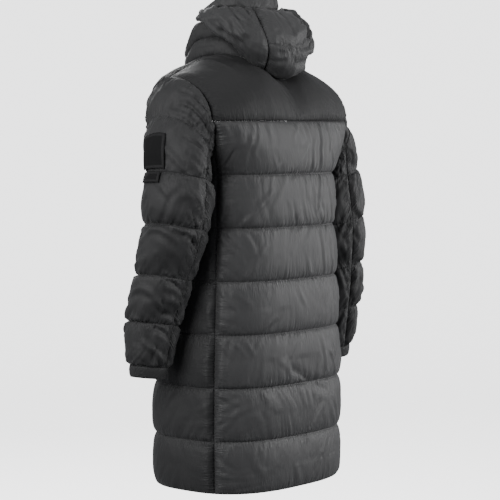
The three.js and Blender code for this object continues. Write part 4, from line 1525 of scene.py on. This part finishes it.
@dataclass
class Trims:
    """Sewing, zip and badges: what lies on the shell."""

    made: dict
    finishes: dict
    stitch_pitch: float = 4.4
    stitch_length: float = 3.0
    stitch_thick: float = 1.0
    tooth_pitch: float = 3.0
    tape_width: float = 26.0
    badges: Sequence[Badge] = (
        Badge("badge_large", 75, 1.36, 1.94, -11),
        Badge("badge_small", 61, 2.0, 2.19, -13, border=2, rows=14),
    )

    def build(self) -> None:
        """Make and dress every trim."""
        self.stitches()
        self.zip()
        self.sewn_badges()
        self.hard_pieces()

    def finish(self, piece: bpy.types.Object, slot: str, body: str = BODY) -> bpy.types.Object:
        """Args: a piece, its slot, which is not used, and its body. Returns: the piece, riding its body."""
        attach(piece, body)
        log.info("%s is dressed", piece.name)
        return piece

    def stitches(self) -> None:
        """Lay thread along every quilting line."""
        tree = Repeats("row of stitches", 5)
        for name, panel in self.made.items():
            if name.startswith("cuff"):
                continue
            lines = [panel.seam_line(seam) for seam in panel.seams[1:-1]]
            if not lines:
                continue
            piece = tree.along(
                f"{name}_stitches", lines, self.stitch_pitch, self.stitch_length, self.stitch_thick,
                self.finishes["thread"],
            )
            self.finish(piece, "shell")

    def zip(self) -> None:
        """Make the zip's tape and its two rows of teeth."""
        z = np.linspace(HEM_Z + 2, COLLAR_TOPS["z"][0] - 2, 120)
        y = front_line(z)
        half = self.tape_width / 2
        section = [(-half, 1.5), (half, 1.5), (half, 0.4), (-half, 0.4)]
        points = np.stack([point(x, y + dy, z) for x, dy in section], 1).reshape(-1, 3)
        faces = [[3, 2, 1, 0]]
        for row in range(len(z) - 1):
            for k in range(4):
                a, b = row * 4 + k, row * 4 + (k + 1) % 4
                faces.append([a, b, b + 4, a + 4])
        last = (len(z) - 1) * 4
        faces.append([last, last + 1, last + 2, last + 3])
        mesh = bpy.data.meshes.new("zip_tape")
        mesh.from_pydata(points * MM, [], faces)
        mesh.materials.append(self.finishes["zip_tape"])
        tape = placed("zip_tape_strip", mesh)
        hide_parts("zip_chain")
        self.finish(tape, "zip_tape")
        tree = Repeats("row of zip teeth", 6)
        rows = []
        for side in (-1, 1):
            shifted = z[:-1] + (0.0 if side < 0 else self.tooth_pitch / 2)
            rows.append(point(side * 1.1, front_line(shifted) - 1.6, shifted))
        teeth = tree.along("zip_teeth", rows, self.tooth_pitch, 1.7, 2.5, self.finishes["zip_tape"])
        self.finish(teeth, "zip_tape")

    def sewn_badges(self) -> None:
        """Lay both bare badges on the left sleeve, with their border stitches."""
        tree = Repeats("badge border stitches", 5)
        for badge in self.badges:
            mesh, flat, line = badge.mesh(self.made["sleeve_top_left"], self.finishes)
            piece = placed(f"{badge.name}_cloth", mesh)
            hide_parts(badge.name)
            self.finish(piece, "badge")
            border = tree.along(f"{badge.name}_border", [line], 1.6, 1.3, 1.5, self.finishes["badge_edge"])
            self.finish(border, "badge")

    def hard_pieces(self) -> None:
        """Round the edges of the slider and its pull tab."""
        for node, body, width in (("zip_slider", BODY, 0.6), ("zip_pull", "pull", 0.3)):
            piece = self.rounded(node, width)
            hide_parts(node)
            self.finish(piece, "zip_metal", body)

    def rounded(self, node: str, width: float) -> bpy.types.Object:
        """Args: a hard node and the rounding in millimetres. Returns: a rounded copy of it."""
        source = frame["nodes"][node]
        shape = bmesh.new()
        shape.from_mesh(source.data)
        bmesh.ops.transform(shape, matrix=source.matrix_world, verts=shape.verts)
        bmesh.ops.remove_doubles(shape, verts=shape.verts, dist=1e-6)
        bmesh.ops.dissolve_limit(shape, angle_limit=0.02, verts=shape.verts, edges=shape.edges)
        sharp = [e for e in shape.edges if len(e.link_faces) == 2 and e.calc_face_angle(0) > 0.6]
        bmesh.ops.bevel(shape, geom=sharp, offset=width * MM, segments=2, affect="EDGES", profile=0.6)
        bmesh.ops.triangulate(shape, faces=shape.faces)
        mesh = bpy.data.meshes.new(f"{node}_metal")
        shape.to_mesh(mesh)
        shape.free()
        mesh.materials.append(self.finishes["zip_metal"])
        return placed(f"{node}_metal", mesh)


# Folds read from the photograph: start, end, width and height, from each panel's first edge
BACK_FOLDS = [
    Fold(*line) for line in (
        ((42, 777), (18, 740), 5, -6.0), ((79, 804), (50, 722), 6, 2.7), ((96, 812), (84, 760), 6, 1.2),
        ((255, 788), (184, 722), 6, 1.7), ((226, 830), (200, 800), 6, 0.9), ((150, 745), (128, 724), 5, 1.2),
        ((312, 838), (294, 730), 5, 2.7), ((344, 836), (338, 770), 4, 2.1), ((350, 770), (358, 721), 5, 2.3),
        ((388, 830), (404, 760), 6, 1.7), ((280, 800), (262, 732), 5, 1.3),
        ((126, 687), (59, 614), 7, 2.1), ((94, 654), (52, 597), 6, 1.7), ((160, 700), (120, 640), 7, 0.9),
        ((290, 712), (278, 640), 5, 2.6), ((320, 708), (352, 603), 5, 2.6), ((300, 650), (310, 603), 5, 1.7),
        ((390, 700), (380, 640), 6, 1.7), ((262, 690), (272, 625), 6, 1.0), ((210, 640), (190, 602), 6, 1.2),
        ((110, 561), (61, 491), 7, 1.6), ((18, 588), (46, 552), 5, -4.7), ((30, 575), (60, 520), 5, 1.2),
        ((291, 585), (316, 482), 6, 1.9), ((330, 588), (352, 486), 6, 1.7), ((240, 520), (262, 484), 6, 1.0),
        ((15, 460), (44, 418), 5, 2.1), ((34, 466), (70, 432), 5, 1.4), ((316, 450), (282, 374), 7, 1.5),
        ((350, 466), (362, 380), 6, 1.5), ((140, 400), (108, 372), 6, 1.2), ((210, 462), (232, 420), 7, 1.0),
        ((12, 346), (38, 312), 4, 2.0), ((36, 350), (60, 322), 4, 1.7), ((62, 350), (84, 318), 5, 1.5),
        ((300, 346), (322, 262), 7, 1.3), ((352, 346), (372, 270), 6, 1.5), ((150, 300), (196, 258), 8, 1.0),
        ((190, 274), (322, 214), 13, -2.9), ((338, 306), (372, 250), 6, 1.9), ((14, 228), (52, 206), 5, 1.6),
        ((306, 182), (238, 104), 9, 1.7), ((18, 147), (60, 196), 7, 1.5), ((360, 190), (384, 130), 6, 1.5),
        ((120, 200), (96, 130), 8, 0.9), ((330, 108), (300, 70), 6, 1.3), ((70, 100), (110, 40), 9, 1.0),
    )
]
LEFT_FOLDS = [
    Fold(*line) for line in (
        ((112, 60), (22, 36), 5, -9.9), ((122, 34), (40, 18), 5, -6.6), ((124, 86), (56, 74), 8, 4.9),
        ((126, 174), (60, 188), 8, 4.1), ((66, 128), (20, 92), 5, -8.2), ((143, 240), (82, 272), 8, 3.5),
        ((38, 254), (4, 284), 5, -8.8), ((50, 320), (6, 280), 5, -9.9), ((72, 332), (30, 300), 6, 5.5),
        ((120, 365), (56, 345), 8, 4.1), ((50, 442), (4, 384), 5, -8.8), ((38, 470), (6, 417), 6, 6.4),
        ((38, 504), (6, 446), 5, -8.2), ((106, 500), (44, 494), 8, 4.3), ((44, 556), (4, 500), 5, -8.2),
        ((34, 585), (8, 549), 5, -4.6), ((60, 610), (20, 586), 6, 4.6), ((110, 560), (60, 575), 8, 3.2),
        ((150, 420), (110, 430), 8, 3.2), ((54, 150), (14, 128), 6, -4.2), ((48, 214), (10, 226), 6, -4.4),
        ((250, 150), (216, 128), 9, 3.0), ((230, 260), (190, 286), 9, 3.5), ((250, 380), (200, 372), 9, 3.5),
        ((240, 500), (196, 520), 9, 3.2), ((190, 600), (150, 588), 8, 3.2), ((260, 60), (200, 84), 9, 3.8),
    )
]
RIGHT_FOLDS = [
    Fold(*line) for line in (
        ((4, 100), (40, 168), 7, -5.1), ((4, 140), (34, 205), 6, -4.4), ((60, 60), (120, 90), 8, 3.6),
        ((6, 248), (40, 288), 6, -4.8), ((6, 350), (42, 416), 6, -4.8), ((60, 330), (110, 352), 8, 3.1),
        ((30, 470), (80, 500), 7, 3.4), ((8, 540), (50, 570), 6, -4.0), ((120, 200), (170, 230), 9, 2.9),
        ((150, 400), (200, 430), 9, 2.6), ((230, 120), (270, 160), 8, 2.9), ((220, 520), (180, 545), 8, 2.9),
        ((260, 300), (226, 330), 7, -3.7), ((240, 600), (200, 610), 7, 2.9),
    )
]
HOOD_FOLDS = [
    Fold(*line) for line in (
        ((20, 16), (150, 20), 8, 5.0), ((60, 62), (166, 50), 8, 3.4), ((96, 104), (174, 84), 7, -4.6),
        ((40, 122), (130, 130), 9, 2.6), ((130, 156), (178, 128), 6, -5.0), ((112, 34), (180, 66), 6, 3.8),
        ((150, 90), (188, 100), 5, -5.0), ((148, 62), (188, 50), 5, -4.6), ((146, 30), (184, 20), 5, 3.8),
        ((136, 114), (188, 112), 5, -4.2), ((140, 80), (186, 76), 5, 3.6), ((152, 142), (188, 142), 5, -4.0),
    )
]
CENTRE_FOLDS = [
    Fold(*line) for line in (
        ((2, 60), (40, 70), 6, -5.4), ((2, 96), (46, 92), 6, 4.0), ((90, 30), (118, 52), 5, 3.6),
        ((80, 18), (104, 40), 5, -3.6), ((60, 120), (96, 128), 8, 2.4), ((20, 30), (60, 24), 7, 2.6),
        ((2, 116), (34, 126), 5, -4.4), ((2, 78), (30, 80), 5, -3.8), ((2, 40), (30, 36), 5, -3.6),
    )
]


@dataclass(frozen=True)
class Studio:
    """The pale floor and backdrop, the soft lights and the camera of the photograph."""

    camera_place: tuple[float, float, float] = (3.447, 2.893, -0.127)
    aim: tuple[float, float, float] = (-0.003, 0.004, -0.432)
    lens: float = 138.4
    floor: float = -1.62
    wall_distance: float = 6.0

    def backdrop(self) -> bpy.types.Object:
        """Returns: a round floor that sweeps up all round, far from the coat."""
        profile = [(0.0, 0.0)]
        bend = 1.2
        profile += [
            (self.wall_distance + bend * math.sin(a), bend * (1 - math.cos(a)))
            for a in np.linspace(0, math.pi / 2, 9)
        ]
        profile.append((self.wall_distance + bend, 7.0))
        points, faces, around = [], [], 64
        for radius, level in profile:
            for i in range(around):
                turn = 2 * math.pi * i / around
                points.append((radius * math.cos(turn), radius * math.sin(turn), self.floor + level))
        for row in range(len(profile) - 1):
            for i in range(around):
                k = (i + 1) % around
                low, high = row * around, (row + 1) * around
                faces.append((low + i, low + k, high + k, high + i))
        mesh = bpy.data.meshes.new("backdrop")
        mesh.from_pydata(points, [], faces)
        mesh.polygons.foreach_set("use_smooth", np.ones(len(mesh.polygons), bool))
        material, shader = Finishes.blank("pale_backdrop")
        shader.inputs["Base Color"].default_value = (0.83, 0.83, 0.84, 1)
        shader.inputs["Roughness"].default_value = 0.9
        shader.inputs["Emission Color"].default_value = (1, 1, 1, 1)
        shader.inputs["Emission Strength"].default_value = 2.4
        mesh.materials.append(material)
        drop = placed("backdrop", mesh)
        drop.visible_diffuse = drop.visible_glossy = drop.visible_shadow = False
        return drop

    def light(self, name: str, place: tuple, aim: tuple, size: tuple, power: float) -> bpy.types.Object:
        """Args: name, place, aim, width and height, power in watts. Returns: a soft light."""
        data = bpy.data.lights.new(name, "AREA")
        data.shape, data.size, data.size_y, data.energy = "RECTANGLE", *size, power
        lamp = placed(name, data)
        lamp.location = place
        lamp.rotation_euler = (Vector(aim) - Vector(place)).to_track_quat("-Z", "Y").to_euler()
        return lamp

    def build(self) -> None:
        """Set up the backdrop, the lights and the camera."""
        drop = self.backdrop()
        middle = (0.0, 0.0, -0.45)
        lamps = [
            self.light("key_right", (-1.4, 2.9, 0.3), middle, (1.2, 2.0), 120),
            self.light("fill_left", (3.2, 0.3, 0.9), middle, (1.6, 2.0), 135),
            self.light("overhead", (0.3, 0.3, 2.7), middle, (1.8, 1.8), 24),
            self.light("front_key", (-1.9, -2.9, 1.2), middle, (1.6, 1.8), 90),
            self.light("edge_right", (-2.8, 1.3, -0.1), middle, (0.9, 1.8), 45),
            self.light("side_fill", (2.2, -2.6, 0.6), middle, (1.6, 1.8), 30),
        ]
        world = bpy.context.scene.world or bpy.data.worlds.new("studio")
        bpy.context.scene.world = world
        world.use_nodes = True
        sky = world.node_tree.nodes["Background"]
        sky.inputs["Color"].default_value = (0.93, 0.95, 1.0, 1)
        sky.inputs["Strength"].default_value = 0.3
        data = bpy.data.cameras.new("photo view")
        data.lens, data.sensor_width = self.lens, 36
        data.clip_end = 30
        camera = placed("photo view", data)
        camera.location = self.camera_place
        aim = Vector(self.aim) - Vector(self.camera_place)
        camera.rotation_euler = aim.to_track_quat("-Z", "Y").to_euler()
        bpy.context.scene.camera = camera
        log.info("studio is set")


def main() -> None:
    """Build the coat from the body outwards and dress every piece."""
    finishes = Finishes().by_name
    fills = {
        "back": ("back_shell", "back_shell", 0.8), "front": ("shell", "shell", 0.75),
        # The yoke takes the shell cloth painted darker, as painted shade.
        "yoke": ("shell", "yoke_shell_painted_shade", 0.45), "sleeve": ("shell", "shell", 0.75),
        "cuff": ("cuff_band", "cuff_band", 0.2), "collar": ("shell", "shell", 0.6),
        # The hood takes the shell cloth painted lighter, as painted light.
        "hood": ("shell", "hood_shell_painted_light", 0.55),
    }
    parts = [
        Body(back_folds=BACK_FOLDS), Yoke(), Sleeve("left", LEFT_SLEEVE, 151, folds=LEFT_FOLDS),
        Sleeve("right", RIGHT_SLEEVE, 181, folds=RIGHT_FOLDS), Collar(), Hood(),
    ]
    made: dict[str, Panel] = {}
    for part in parts:
        panels = part.build()
        part.dress(panels, finishes, fills)
        made.update({panel.name: panel for panel in panels})
    Trims(made, finishes).build()
    Studio().build()


if __name__ == "__main__":
    main()
